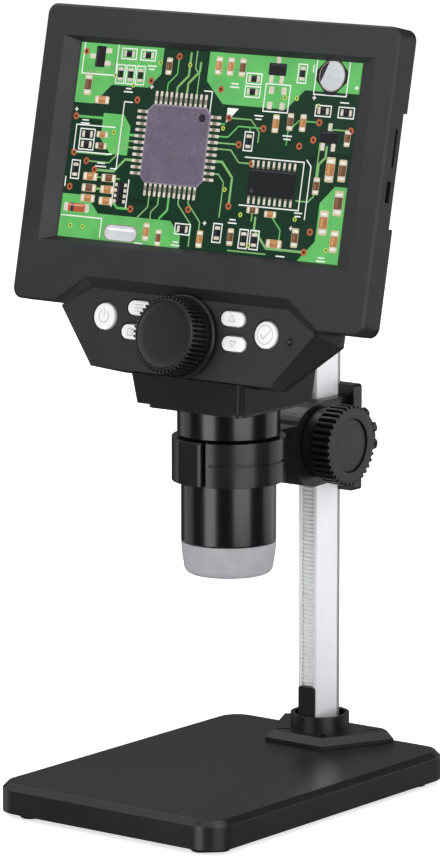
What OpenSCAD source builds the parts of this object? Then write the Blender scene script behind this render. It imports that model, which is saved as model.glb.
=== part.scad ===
// LCD digital microscope on a rack and pinion stand.
// Millimetres, +Z up, front towards -Y. The origin is on the table, under the
// middle of the screen's width and halfway between the base's front edge and
// the rearmost piece.

/* [Base] */
// Width of the base plate
base_w = 98.2; // [90:0.1:130]
// Length of the base plate, front to back
base_l = 137.6; // [125:0.1:180]
// Thickness of the base plate
base_t = 10.2; // [9:0.1:14]
// Radius of the base plate's corners
base_r = 9.5; // [6:0.5:16]
// Bevel round the top of the base plate
base_bevel = 2; // [0.5:0.1:3]
// Wall of the base moulding
base_wall = 2.4; // [1.8:0.1:3.5]
// How far the middle of the base lies to the left of the pole
base_shift = 2.5; // [0:0.1:10]
// Length of a rubber foot
foot_l = 14; // [10:0.5:18]
// Width of a rubber foot
foot_w = 8; // [6:0.5:10]
// How far a foot stands below the base
foot_h = 2; // [1:0.1:4]
// Depth of a foot's seat in the base
foot_seat = 1; // [0.5:0.1:2]
// Distance from the base's edges to the middle of a foot
foot_inset = 9.5; // [8:0.5:14]
// Thickness of the steel weight inside the base
weight_t = 3; // [2:0.1:4.5]

/* [Pole and its flange] */
// Width of the pole
pole_w = 7.9; // [7:0.1:12]
// Depth of the pole, front to back
pole_d = 15.3; // [13:0.1:20]
// Height of the pole's upper end above the table
pole_top = 212; // [200:1:260]
// Distance from the pole's axis to the rear edge of the base
pole_from_rear = 15.7; // [15:0.1:30]
// Radius of the pole's rear edges
pole_r = 2; // [0.5:0.1:3]
// Width of the channel in the front of the pole
channel_w = 5.3; // [4.5:0.1:6]
// Depth of the channel
channel_d = 3.6; // [3.2:0.1:4.2]
// Bore along the pole for its bolt and its cap
pole_bore = 4.2; // [3:0.1:5]
// Width of the flange at its front
flange_front_w = 25.2; // [22:0.1:34]
// Width of the flange where it is widest
flange_rear_w = 50.4; // [42:0.1:60]
// Distance from the pole's axis to the flange's front edge
flange_front = 15.8; // [13:0.1:22]
// Distance from the pole's axis to the flange's rear edge
flange_rear = 13.7; // [12:0.1:14]
// Height of the flange plate
flange_t = 4.1; // [3:0.1:6]
// Diameter of the collar
collar_d = 21.1; // [20.6:0.1:24]
// Height of the collar above the flange plate
collar_h = 5.7; // [4:0.1:10]
// Wall of the collar
collar_wall = 1.35; // [1:0.05:1.6]
// Depth of the recess in the collar
collar_recess = 3; // [1:0.1:4]
// Height of the rack stop above the collar
stop_h = 10.5; // [6:0.1:16]

/* [Rack and pinion] */
// Pitch of the rack's teeth
rack_pitch = 1.5; // [1.3:0.05:1.7]
// Teeth of each pinion
pinion_teeth = 14; // [14:1:16]
// Play between meshing teeth
backlash = 0.14; // [0.08:0.01:0.25]
// Diameter of the steel shafts
shaft_d = 4; // [3:0.1:4.2]
// How far the rack's pitch line lies behind the face of the pole
rack_setback = 0.6; // [0.5:0.05:1]
// Running clearance of a shaft in its bush, on the radius
shaft_play = 0.05; // [0.03:0.01:0.1]

/* [Carriage] */
// Height of the ring's middle and of the coarse focus axis above the table
ring_z = 122.7; // [110:0.1:150]
// Distance from the pole's axis to the tube's axis
pole_to_tube = 53.9; // [50:0.1:65]
// Height of the ring
ring_h = 15.4; // [12:0.1:20]
// Wall of the ring
ring_wall = 3.15; // [2.5:0.05:4]
// Width of the slit in the ring
slit_w = 1.4; // [0.8:0.1:2.5]
// Angle of the slit, to the right of the front
slit_a = 11.6; // [5:0.1:20]
// Width of the carriage's block
block_w = 16; // [15:0.1:20]
// Radius of the carriage's nose
nose_r = 14.5; // [12:0.1:16]
// Distance from the nose's middle to the tube's axis
nose_y = 40.4; // [39:0.1:44]
// Height of the carriage's back plate
back_h = 38.2; // [34:0.1:46]
// Width of the carriage's back plate
back_w = 21.6; // [20:0.1:30]
// Wall of the back plate behind the pole
back_wall = 2.1; // [1.9:0.1:4]
// Sliding clearance between the carriage and the pole, each side
slide_play = 0.15; // [0.1:0.01:0.3]

/* [Lock behind the pole] */
// Diameter over the lobes of the lock knob
lock_d = 23.2; // [18:0.1:26]
// Lobes round the lock knob
lock_lobes = 10; // [6:1:14]
// Height of a lobe
lock_lobe_h = 1.6; // [0.8:0.1:2.5]
// Length of the lock knob
lock_l = 8; // [6:0.1:12]
// Depth of the lock screw's axis below the middle of the ring
lock_drop = 1.8; // [0:0.1:4]

/* [Coarse focus knobs] */
// Diameter over a knob's ribs
knob_d = 28.6; // [24:0.1:30]
// Distance from the middle of the pole to a knob's face
knob_face = 21.1; // [19:0.1:26]
// Length of the ribbed barrel
knob_grip = 7.9; // [6:0.1:10]
// Ribs round a knob
knob_ribs = 36; // [24:3:48]
// Depth of a rib
rib_depth = 0.9; // [0.5:0.05:1.2]
// Diameter of the disc in a knob's face
knob_disc_d = 18.4; // [14:0.1:21]

/* [Screen housing] */
// Width of the screen housing
housing_w = 151.8; // [148:0.1:170]
// Height of the screen housing
housing_h = 104.1; // [102:0.1:125]
// Depth of the screen housing at its edges
housing_d = 9.8; // [9.5:0.1:13]
// Corner radius of the screen housing
housing_r = 4; // [3:0.1:8]
// Bevel round the front of the housing
housing_bevel = 0.8; // [0.3:0.1:1.5]
// Backward tilt of the screen
tilt = 12; // [8:0.5:16]
// Distance from the tube's axis forward to the foot of the screen's face
face_gap = 26.5; // [26:0.1:30]
// Height of the foot of the screen's face above the neck plate
face_rise = 34.3; // [33.5:0.1:38]
// Wall of the housing's shells
shell_wall = 2; // [1.6:0.1:2.4]
// Thickness of the bezel's face
bezel_t = 2.4; // [2:0.1:2.5]
// Depth of the rear cover's rim
rear_rim = 2.2; // [2:0.1:3]
// Width of the visible screen
screen_w = 121; // [110:0.1:123]
// Height of the visible screen
screen_h = 68.1; // [62:0.1:70]
// Height of the screen's middle above the foot of the face
screen_mid = 57.2; // [55:0.1:62]
// Width of the recess round the screen, at the face
recess_w = 134.2; // [128:0.1:140]
// Height of the recess round the screen, at the face
recess_h = 72; // [70:0.1:78]

/* [Control housing] */
// Depth of the control panel behind the bezel's face
panel_set = 2.5; // [2.5:0.1:4]
// Width of the panel across its tips
panel_w = 109.6; // [104:0.1:116]
// Width of the panel's lower edge
panel_low_w = 77.2; // [70:0.1:90]
// Width of the panel's upper edge
panel_top_w = 85; // [80:0.1:95]
// Depth of the panel's lower edge below the foot of the face
panel_drop = 20.5; // [19:0.1:22]
// Rise of the panel's upper edge above the foot of the face
panel_rise = 6.3; // [5:0.1:8]
// Depth of the control housing behind its panel
chin_d = 13.6; // [13:0.1:16]
// Thickness of the panel
panel_t = 1.8; // [1.5:0.1:2.5]

/* [Buttons] */
// Diameter of the two round buttons
round_button_d = 9.6; // [8:0.1:11]
// Distance of a round button from the middle
round_button_x = 34.9; // [31:0.1:38]
// Length of a long button
long_button_l = 10.2; // [8:0.1:11]
// Width of a long button
long_button_w = 5.4; // [4:0.1:6]
// Distance of an upper long button from the middle
long_button_x = 20.2; // [19.5:0.1:21.5]
// How far the lower long buttons stand farther out than the upper ones
long_button_step = 1.6; // [0:0.1:2]
// Distance between an upper and a lower long button
long_button_pitch = 8.4; // [7.5:0.1:9]
// How far a button stands out of the panel
button_proud = 0.9; // [0.7:0.1:1.5]
// Travel of a button
button_travel = 0.5; // [0.3:0.05:0.6]
// Clearance round a button
button_play = 0.2; // [0.15:0.01:0.3]

/* [Fine focus] */
// Height of the focus knob's axis below the foot of the face
focus_drop = 7; // [6:0.1:8]
// Diameter of the focus knob's flange
focus_flange_d = 29.2; // [26:0.1:30]
// Diameter over the focus knob's ribs
focus_grip_d = 25; // [22:0.1:26]
// How far the focus knob stands out of the bezel's face
focus_reach = 9; // [7:0.1:12]
// Ribs round the focus knob
focus_ribs = 60; // [40:1:72]
// Length of the focus shaft behind the bezel's face
focus_shaft_l = 32; // [31:0.1:34]

/* [Neck, tube and light] */
// Width of the neck at its foot
neck_w = 46.2; // [44:0.1:50]
// Distance from the tube's axis to the neck's front at its foot
neck_front = 23.3; // [22:0.1:24]
// Distance from the tube's axis to the neck's rear
neck_rear = 18.4; // [18:0.1:22]
// How far each side of the neck widens towards its top
neck_flare = 1.9; // [0.5:0.1:2.2]
// Height of the neck's shells
neck_h = 15; // [14:0.1:18]
// Thickness of the plate under the neck
neck_plate_t = 1.6; // [1.2:0.1:3]
// Diameter of the upper tube
upper_d = 36; // [35.5:0.1:38.5]
// Visible length of the upper tube
upper_l = 10.2; // [8:0.1:14]
// Diameter of the lower tube
lower_d = 33.3; // [32:0.1:34.5]
// Length of the lower tube from the ring's top to the light cap
lower_l = 37; // [30:0.1:45]
// Bore of both tubes
tube_bore = 28; // [27.6:0.1:29]
// Height of the light cap
cap_h = 11.3; // [9:0.1:14]
// Diameter of the light cap at its mouth
cap_mouth_d = 29.2; // [27:0.1:31]
// Wall of the light cap
cap_wall = 1.6; // [1.2:0.1:2]
// Number of LEDs round the lens
led_count = 8; // [6:1:12]

/* [Hidden] */
$fn = 96;
gap = 0.1;           // gap between fixed pieces that lie against each other
seat = 0.3;          // gap where a moving piece rests
e = 0.02;            // cuts reach this far past a face

// Levels and axes
lock_boss_l = 2.4;
lock_reach = pole_d / 2 + slide_play + back_wall + lock_boss_l + seat + lock_l;
base_mid_y = min(0, (pole_from_rear - lock_reach) / 2);
base_top = foot_h + base_t;
pole_y = base_mid_y + base_l / 2 - pole_from_rear;
tube_y = pole_y - pole_to_tube;
pole_face = pole_y - pole_d / 2;
pinion_pr = pinion_teeth * rack_pitch / (2 * PI);
module_mm = rack_pitch / PI;
tooth_out = 0.85 * module_mm;
tooth_in = 1.15 * module_mm;
pinion_y = pole_face + rack_setback - pinion_pr;
shoulder_z = ring_z + ring_h / 2 + seat;
cap_top_z = ring_z + ring_h / 2 - lower_l;
neck_z = shoulder_z + upper_l;
neck_foot_z = neck_z + neck_plate_t + gap;
face_y = tube_y - face_gap;
face_z = neck_z + face_rise;
chin_back = panel_set + chin_d;
collar_top = base_top + flange_t + collar_h;

// A rounded rectangle with true arcs
module rounded_rect(w, h, r) {
    square([w - 2 * r, h], center = true);
    square([w, h - 2 * r], center = true);
    for (x = [-1, 1], y = [-1, 1])
        translate([x * (w / 2 - r), y * (h / 2 - r)]) circle(r);
}

module stadium(l, w) {
    square([l - w, w], center = true);
    for (s = [-1, 1])
        translate([s * (l - w) / 2, 0]) circle(w / 2);
}

module prism_along_x(l) {
    rotate([90, 0, 90]) translate([0, 0, -l / 2]) linear_extrude(l) children();
}

// A plate with rounded corners and a bevelled upper edge
module bevelled_plate(w, l, t, r, b) {
    linear_extrude(t - b) rounded_rect(w, l, r);
    translate([0, 0, t - b]) {
        bevel_prism(w - 2 * r, l, b);
        rotate(90) bevel_prism(l - 2 * r, w, b);
        for (x = [-1, 1], y = [-1, 1])
            translate([x * (w / 2 - r), y * (l / 2 - r), 0])
                cylinder(h = b, r1 = r, r2 = r - b);
    }
}

module bevel_prism(l, across, b) {
    prism_along_x(l)
        polygon([[-across / 2, 0], [across / 2, 0], [across / 2 - b, b], [b - across / 2, b]]);
}

// The head's own frame: X right, Z up along the screen, Y back from its face
module in_head() {
    translate([0, face_y, face_z]) rotate([-tilt, 0, 0]) children();
}

// A flat shape of the screen's plane, made solid between two depths
module between(front, back) {
    translate([0, back, 0]) rotate([90, 0, 0]) linear_extrude(back - front) children();
}

// A bolt pattern helper: one child at each of four corners
module corners(x, y) {
    for (i = [-1, 1], j = [-1, 1])
        translate([i * x, j * y, 0]) children();
}

// A screw with a round head at z = 0 and its shank upwards
module screw(d, l, head_d, head_h) {
    cylinder(h = l, d = d);
    translate([0, 0, -head_h]) difference() {
        cylinder(h = head_h, d = head_d);
        for (a = [0, 90])
            rotate(a) translate([0, 0, head_h * 0.2])
                cube([head_d * 0.62, head_d * 0.16, head_h], center = true);
    }
}

// A grip: a disc with ribs round it, every third one higher where lobes are asked for
function rib_points(n, root, tip, width, lobes) = [
    for (i = [0 : n - 1])
        let (a = i * 360 / n,
             top = lobes && i % 3 != 0 ? tip - 0.35 : tip,
             half_root = width / 2 / root * 180 / PI,
             half_tip = half_root * 0.7)
            each [
                root * [cos(a - half_root), sin(a - half_root)],
                top * [cos(a - half_tip), sin(a - half_tip)],
                top * [cos(a + half_tip), sin(a + half_tip)],
                root * [cos(a + half_root), sin(a + half_root)]
            ]
];

// Involute flank of a pinion's tooth: angle at a radius
function involute(r, base_r) =
    let (c = acos(base_r / r)) tan(c) * 180 / PI - c;

function pinion_points(steps = 5) =
    let (base_r = pinion_pr * cos(20),
         root = pinion_pr - tooth_in,
         tip = pinion_pr + tooth_out,
         half = 90 / pinion_teeth - backlash / 2 / pinion_pr * 180 / PI,
         inv_pitch = involute(pinion_pr, base_r))
    [for (i = [0 : pinion_teeth - 1])
        let (mid = (i + 0.5) * 360 / pinion_teeth)
            each concat(
                [root * [cos(mid - half - inv_pitch), sin(mid - half - inv_pitch)]],
                [for (k = [0 : steps])
                    let (r = base_r + (tip - base_r) * k / steps,
                         a = mid - half - inv_pitch + involute(r, base_r))
                        r * [cos(a), sin(a)]],
                [for (k = [steps : -1 : 0])
                    let (r = base_r + (tip - base_r) * k / steps,
                         a = mid + half + inv_pitch - involute(r, base_r))
                        r * [cos(a), sin(a)]],
                [root * [cos(mid + half + inv_pitch), sin(mid + half + inv_pitch)]])];

// A toothed bar in its own plane: its teeth point to -X on the pitch line x = 0,
// a tooth's middle lies at y = 0, and the back is at x = depth
function rack_points(low, high, pitch, depth) =
    let (tooth_half = pitch / 4 - backlash / 2,
         lean = tan(20),
         first = ceil(low / pitch + 0.5),
         last = floor(high / pitch - 0.5))
    concat(
        [[tooth_in, low]],
        [for (i = [first : last])
            each [
                [tooth_in, i * pitch - tooth_half - tooth_in * lean],
                [-tooth_out, i * pitch - tooth_half + tooth_out * lean],
                [-tooth_out, i * pitch + tooth_half - tooth_out * lean],
                [tooth_in, i * pitch + tooth_half + tooth_in * lean]
            ]],
        [[tooth_in, high], [depth, high], [depth, low]]);

/* ---------- stand ---------- */

foot_x = base_w / 2 - foot_inset;
foot_y = base_l / 2 - foot_inset;
base_inner_t = base_t - base_wall - 0.4;
weight_w = base_w - 2 * base_wall - 6;
weight_l = base_l - 2 * base_wall - 44;
weight_y = -(base_l / 2 - base_wall - 3 - weight_l / 2);
weight_post_x = weight_w / 2 - 16;
weight_post_y = weight_l / 2 - 14;

module foot_places() {
    for (i = [-1, 1], j = [-1, 1])
        translate([i * foot_x, j * foot_y, 0]) rotate(-45 * i * j) children();
}

module on_base() {
    translate([-base_shift, base_mid_y, foot_h]) children();
}

module base_plate() {
    color("#2b2c2e") difference() {
        on_base() difference() {
            bevelled_plate(base_w, base_l, base_t, base_r, base_bevel);
            difference() {
                translate([0, 0, -e]) linear_extrude(base_inner_t)
                    rounded_rect(base_w - 2 * base_wall, base_l - 2 * base_wall, base_r - base_wall);
                foot_places() translate([0, 0, -1]) linear_extrude(base_t)
                    stadium(foot_l + 4, foot_w + 4);
                translate([base_shift, pole_y - base_mid_y, -1]) cylinder(h = base_t, d = 12);
                translate([base_shift, pole_y - base_mid_y, -1]) flange_screw_places() cylinder(h = base_t, d = 8);
                translate([0, weight_y, -1]) corners(weight_post_x, weight_post_y)
                    cylinder(h = base_t, d = 6);
            }
            foot_places() translate([0, 0, -1]) linear_extrude(foot_seat + 1)
                stadium(foot_l + 2 * gap, foot_w + 2 * gap);
            translate([0, weight_y, -e]) corners(weight_post_x, weight_post_y)
                cylinder(h = base_inner_t - weight_t, d = 12);
            translate([0, weight_y, 0]) corners(weight_post_x, weight_post_y)
                cylinder(h = base_inner_t, d = 2.6);
        }
        translate([0, pole_y, 0]) {
            flange_screw_places() {
                cylinder(h = base_top + 1, d = 3.4);
                cylinder(h = foot_h + 2.6, d = 6.4);
            }
            cylinder(h = base_top + 1, d = 5.4);
            cylinder(h = foot_h + 4, d = 9.6);
        }
    }
}

module base_weight() {
    color("#8d9094") translate([-base_shift, base_mid_y + weight_y, foot_h + base_inner_t - weight_t - gap])
        difference() {
            linear_extrude(weight_t) rounded_rect(weight_w, weight_l, 6);
            translate([0, 0, -1]) corners(weight_post_x, weight_post_y) cylinder(h = weight_t + 2, d = 6.4);
            translate([0, -weight_y, -1]) foot_places()
                linear_extrude(weight_t + 2) stadium(foot_l + 5, foot_w + 5);
        }
}

module weight_screws() {
    color("silver")
        translate([-base_shift, base_mid_y + weight_y, foot_h + base_inner_t - weight_t - 2 * gap])
            corners(weight_post_x, weight_post_y) screw(2.5, weight_t - 1, 9, 1.6);
}

module base_feet() {
    color("#1c1c1d") translate([-base_shift, base_mid_y, 0]) foot_places() {
        translate([0, 0, 0.5]) linear_extrude(foot_h + foot_seat - 0.5 - gap / 2) stadium(foot_l, foot_w);
        linear_extrude(0.5) stadium(foot_l - 1, foot_w - 1);
    }
}

module flange_screw_places() {
    for (s = [-1, 1]) {
        translate([s * 14.2, -1, 0]) children();
        translate([s * 9.4, 8.6, 0]) children();
    }
}

module flange_outline() {
    polygon([
        [-flange_front_w / 2, -flange_front], [flange_front_w / 2, -flange_front],
        [flange_rear_w / 2, flange_rear - 3.4], [flange_rear_w / 2 - 5.2, flange_rear],
        [5.2 - flange_rear_w / 2, flange_rear], [-flange_rear_w / 2, flange_rear - 3.4]
    ]);
}

module flange_slots() {
    for (s = [-1, 1]) {
        translate([s * 8.6, -10.2, 0]) rotate(s * -32) square([4.4, 1.6], center = true);
        translate([s * 17.6, 7.6, 0]) rotate(s * 32) square([4.4, 1.6], center = true);
    }
}

module pole_flange() {
    color("#2a2b2d") translate([0, pole_y, base_top + gap / 2]) difference() {
        union() {
            hull() {
                linear_extrude(1.5) flange_outline();
                linear_extrude(flange_t) offset(delta = -1.8) flange_outline();
            }
            cylinder(h = flange_t + collar_h, d = collar_d);
        }
        translate([0, 0, flange_t - 1.2]) linear_extrude(2) difference() {
            flange_slots();
            circle(d = collar_d + 0.4);
        }
        translate([0, 0, flange_t + collar_h - collar_recess])
            cylinder(h = collar_recess + 1, d = collar_d - 2 * collar_wall);
        translate([0, 0, 1.2]) linear_extrude(flange_t + collar_h) pole_hole(gap);
        translate([0, 0, -1]) cylinder(h = 3, d = 5.4);
        translate([0, 0, -1]) flange_screw_places() cylinder(h = flange_t - 0.1, d = 2.6);
    }
}

// Outline of the pole with the rack stop in front of it, grown by a clearance
module pole_hole(c) {
    square([pole_w + 2 * c, pole_d + 2 * c], center = true);
    translate([0, -pole_d / 2 - 0.3]) square([7.2 + 2 * c, 0.6 + 2 * c], center = true);
}

module flange_screws() {
    color("silver") translate([0, pole_y, foot_h + 2.6 - gap]) flange_screw_places()
        screw(2.5, base_top + flange_t - foot_h - 2.6 - 1.2, 6, 1.8);
}

module pole_bolt() {
    color("silver") translate([0, pole_y, foot_h + 4 - gap]) {
        cylinder(h = 26, d = pole_bore - 0.1);
        translate([0, 0, -3.5]) difference() {
            cylinder(h = 3.5, d = 8.5);
            translate([0, 0, -1]) cylinder(h = 3, d = 4, $fn = 6);
        }
    }
}

module pole_section() {
    difference() {
        union() {
            square([pole_w, pole_d - 2 * pole_r], center = true);
            translate([0, pole_r / 2]) square([pole_w - 2 * pole_r, pole_d - pole_r], center = true);
            translate([0, -pole_d / 2 + pole_r]) square([pole_w, 2 * pole_r], center = true);
            for (s = [-1, 1])
                translate([s * (pole_w / 2 - pole_r), pole_d / 2 - pole_r]) circle(pole_r);
        }
        translate([0, channel_d / 2 - pole_d / 2 - 1]) square([channel_w, channel_d + 2], center = true);
        circle(d = pole_bore);
    }
}

pole_foot = base_top + gap / 2 + 1.2 + gap;

module pole() {
    color("#d9dbde") translate([0, pole_y, pole_foot]) linear_extrude(pole_top - pole_foot) pole_section();
}

rack_low = collar_top + stop_h + gap;
rack_high = pole_top - 6;

module rack() {
    color("#c2c4c8") translate([0, pole_face + rack_setback, ring_z])
        rotate([0, -90, 180]) translate([0, 0, -(channel_w - 0.3) / 2]) linear_extrude(channel_w - 0.3)
            mirror([0, 1]) polygon([for (p = rack_points(rack_low - ring_z, rack_high - ring_z, rack_pitch,
                channel_d - rack_setback - gap)) [p[1], p[0]]]);
}

module rack_stop() {
    color("#242527") translate([0, pole_face, pole_foot]) {
        translate([0, -0.3, 0]) rotate([90, 0, 0]) translate([0, 0, -0.3])
            linear_extrude(0.55) stop_face(7.2, collar_top + stop_h - pole_foot);
        translate([0, -0.05, 0]) rotate([90, 0, 180]) linear_extrude(channel_d - gap)
            stop_face(channel_w - 0.3, collar_top + stop_h - pole_foot);
    }
}

module stop_face(w, h) {
    r = 1;
    translate([-w / 2, 0]) square([w, h - r]);
    translate([r - w / 2, h - 2 * r]) square([w - 2 * r, 2 * r]);
    for (s = [-1, 1])
        translate([s * (w / 2 - r), h - r]) circle(r);
}

module pole_cap() {
    color("#242527") translate([0, pole_y, pole_top + gap]) {
        difference() {
            linear_extrude(2.6) rounded_rect(pole_w + 0.6, pole_d + 0.6, pole_r);
            translate([0, 0, 2]) linear_extrude(1) rounded_rect(pole_w - 3, pole_d - 3, 1);
        }
        translate([0, 0, -8]) cylinder(h = 8 + e, d = pole_bore - 0.1);
    }
}

/* ---------- carriage and ring ---------- */

block_front = pole_face - slide_play;
block_back = pole_y + 4.9;
block_low = ring_z - 14.7;
block_high = ring_z + 14.6;
screw_x = 6.1;
screw_dz = 10.6;
back_z = ring_z - 0.6;
back_depth = pole_d / 2 + slide_play + back_wall - (block_back - pole_y) - gap;
back_face = block_back + gap + back_depth;
lock_z = ring_z - lock_drop;

module carriage_block() {
    ring_r = lower_d / 2 + gap;
    color("#28292b") difference() {
        union() {
            prism_along_x(block_w) hull() {
                translate([tube_y + nose_y, ring_z - 1.1]) circle(nose_r, $fn = 48);
                translate([tube_y + nose_y + 6, block_low])
                    square([block_back - tube_y - nose_y - 6, block_high - block_low]);
            }
            translate([-block_w / 2, tube_y + ring_r + 1, ring_z - ring_h / 2])
                cube([block_w, nose_y - ring_r - 4, ring_h]);
            translate([0, tube_y, ring_z - ring_h / 2]) {
                cylinder(h = ring_h, r = ring_r + ring_wall);
                ring_lug(ring_r + ring_wall);
            }
        }
        translate([0, tube_y, ring_z - ring_h / 2 - 1]) {
            cylinder(h = ring_h + 2, r = ring_r);
            rotate(slit_a) translate([-slit_w / 2, -ring_r - ring_wall - 4, 0])
                cube([slit_w, ring_wall + 6, ring_h + 2]);
        }
        ring_groove(ring_r + ring_wall);
        translate([-pole_w / 2 - slide_play, block_front, block_low - 2])
            cube([pole_w + 2 * slide_play, pole_d + 20, back_h + 10]);
        translate([0, pinion_y, ring_z]) rotate([0, 90, 0]) {
            cylinder(h = pinion_w + 0.8, r = pinion_pr + tooth_out + 0.6, center = true);
            cylinder(h = block_w + 2, d = bush_d, center = true);
        }
        for (i = [-1, 1], j = [-1, 1])
            translate([i * screw_x, block_back - 7, ring_z - 0.05 + j * screw_dz])
                rotate([-90, 0, 0]) cylinder(h = 10, d = 2);
    }
}

// Raised band beside the ring's slit, and the flat pad next to it
module ring_lug(r) {
    band_w = 1.3;
    pad_w = 9;
    rotate(slit_a) translate([0, 0, 0.3]) {
        translate([-slit_w / 2 - band_w, -r - 0.9, 0]) cube([band_w + 0.5, 2.6, ring_h - 0.6]);
        rotate(-19) translate([-pad_w / 2, -r - 0.35, 0]) cube([pad_w, 2.6, ring_h - 0.6]);
    }
}

// Fine groove round the ring at mid height, from the slit to the arm
module ring_groove(r) {
    translate([0, tube_y, ring_z - 0.4]) rotate(slit_a - 90 + 6)
        rotate_extrude(angle = 118 - slit_a) translate([r - 0.6, 0]) square([2, 0.8]);
}

bush_d = 7;
pinion_w = 4.4;

module carriage_back() {
    color("#2c2d2f") difference() {
        union() {
            translate([0, block_back + gap, back_z]) rotate([-90, 0, 0])
                linear_extrude(back_depth) rounded_rect(back_w, back_h, 1.2);
            translate([0, back_face - 1, lock_z]) rotate([-90, 0, 0])
                cylinder(h = lock_boss_l + 1, d = 9.6);
        }
        translate([-pole_w / 2 - slide_play, block_back - 1, back_z - back_h / 2 - 1])
            cube([pole_w + 2 * slide_play, pole_y + pole_d / 2 + slide_play + 0.4 - block_back + 1, back_h + 2]);
        for (i = [-1, 1], j = [-1, 1])
            translate([i * screw_x, block_back - 1, ring_z + j * screw_dz]) rotate([-90, 0, 0]) {
                cylinder(h = 12, d = 2.3);
                translate([0, 0, 1 + gap + back_depth - 1.6]) cylinder(h = 4, d = 4.4);
            }
        translate([0, block_back, lock_z]) rotate([-90, 0, 0]) cylinder(h = 20, d = shaft_d + 2 * shaft_play);
    }
}

// The lock's own frame: Z points out of the back plate, from the end of its boss
module at_lock() {
    translate([0, back_face + lock_boss_l, lock_z]) rotate([-90, 0, 0]) children();
}

module lock_knob() {
    root = lock_d / 2 - lock_lobe_h;
    color("#2b2c2e") at_lock() translate([0, 0, seat]) difference() {
        union() {
            cylinder(h = 2, d = 11);
            translate([0, 0, 1.6]) cylinder(h = 0.8, r1 = root - 0.8, r2 = root);
            translate([0, 0, 2.4]) cylinder(h = lock_l - 3.4, r = root);
            translate([0, 0, lock_l - 1]) cylinder(h = 1, r1 = root, r2 = root - 1);
            for (i = [0 : lock_lobes - 1])
                rotate((i + 0.46) * 360 / lock_lobes) translate([root - 0.6, 0, 2.4])
                    linear_extrude(lock_l - 3.4) lobe();
        }
        translate([0, 0, -1]) cylinder(h = lock_l - 1, r = shaft_d / 2 + 0.02);
        translate([0, 0, lock_l - 0.6]) cylinder(h = 2, r = root - 3);
    }
}

// One lobe, with its root at the origin and pointing along +X
module lobe() {
    r = 0.6;
    half = 1.7;
    square([2 * (lock_lobe_h + 0.6 - r), 2 * half], center = true);
    translate([(lock_lobe_h + 0.6) / 2, 0]) square([lock_lobe_h + 0.6, 2 * (half - r)], center = true);
    for (s = [-1, 1])
        translate([lock_lobe_h + 0.6 - r, s * (half - r)]) circle(r, $fn = 24);
}

module lock_screw() {
    tip = pole_y + pole_d / 2 + gap;
    color("#b9bcc0") translate([0, tip, lock_z]) rotate([-90, 0, 0])
        cylinder(h = back_face + lock_boss_l + seat + lock_l - 2.2 - tip, d = shaft_d);
}

module slide_pads() {
    color("#e8e6dc") for (j = [-1, 1])
        translate([0, pole_y + pole_d / 2 + slide_play + 0.05, ring_z + j * 14])
            rotate([-90, 0, 0]) linear_extrude(0.3) rounded_rect(pole_w - 1.2, 8, 1);
}

module carriage_screws() {
    color("silver") for (i = [-1, 1], j = [-1, 1])
        translate([i * screw_x, back_face - 1.6 + gap, ring_z + j * screw_dz])
            rotate([90, 0, 0]) screw(1.9, back_depth + 3.6, 4, 1.3);
}

module shaft_bushes() {
    bush_l = (block_w - pole_w) / 2 - slide_play - gap;
    color("#b08d4a") for (s = [-1, 1])
        translate([s * (block_w / 2 - bush_l / 2), pinion_y, ring_z]) rotate([0, 90, 0]) difference() {
            cylinder(h = bush_l, d = bush_d - 0.04, center = true);
            cylinder(h = bush_l + 1, r = shaft_d / 2 + shaft_play, center = true);
        }
}

/* ---------- coarse focus ---------- */

module pinion_shaft() {
    color("#b9bcc0") translate([0, pinion_y, ring_z]) rotate([0, 90, 0]) {
        cylinder(h = 2 * (knob_face - 2.4), d = shaft_d, center = true);
        rotate(90) linear_extrude(pinion_w, center = true) polygon(pinion_points());
    }
}

// A ribbed knob whose face looks along +Z, its rear end at z = 0
module coarse_knob(length) {
    root = knob_d / 2 - rib_depth;
    difference() {
        union() {
            cylinder(h = length, r = root - 0.8);
            translate([0, 0, length - knob_grip]) cylinder(h = knob_grip - 0.7, r = root);
            translate([0, 0, length - 0.7]) cylinder(h = 0.7, r1 = root, r2 = root - 0.6);
            translate([0, 0, length - knob_grip + 0.3]) linear_extrude(knob_grip - 0.9)
                polygon(rib_points(knob_ribs, root - 0.05, knob_d / 2, 1.25, true));
        }
        translate([0, 0, length - 1.2]) cylinder(h = 2, r = knob_disc_d / 2 + 0.35);
        translate([0, 0, -1]) cylinder(h = length - 1.2, r = shaft_d / 2 + 0.02);
        difference() {
            translate([0, 0, -1]) cylinder(h = 4, r = root - 2.6);
            translate([0, 0, -1]) cylinder(h = 4, r = 4.6);
        }
    }
}

knob_rear = block_w / 2 + seat;

module knob_at(side) {
    translate([side * knob_rear, pinion_y, ring_z]) rotate([0, side * 90, 0]) children();
}

module coarse_knob_right() {
    color("#2f3032") knob_at(1) coarse_knob(knob_face - knob_rear);
}

module coarse_knob_left() {
    color("#2f3032") knob_at(-1) coarse_knob(knob_face - knob_rear);
}

module coarse_knob_discs() {
    color("#3b3c3f") for (s = [-1, 1])
        knob_at(s) translate([0, 0, knob_face - knob_rear - 1.2 + gap / 2]) {
            cylinder(h = 0.8, d = knob_disc_d);
            translate([0, 0, 0.8]) cylinder(h = 0.3, d1 = knob_disc_d, d2 = knob_disc_d - 0.6);
        }
}

/* ---------- head: outlines shared by its shells ---------- */

// The panel's six-sided outline, grown outwards by c
module panel_outline(c = 0) {
    offset(delta = c) polygon([
        [-panel_top_w / 2, panel_rise], [panel_top_w / 2, panel_rise],
        [panel_w / 2, -0.95], [panel_low_w / 2, -panel_drop],
        [-panel_low_w / 2, -panel_drop], [-panel_w / 2, -0.95]
    ]);
}

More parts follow.
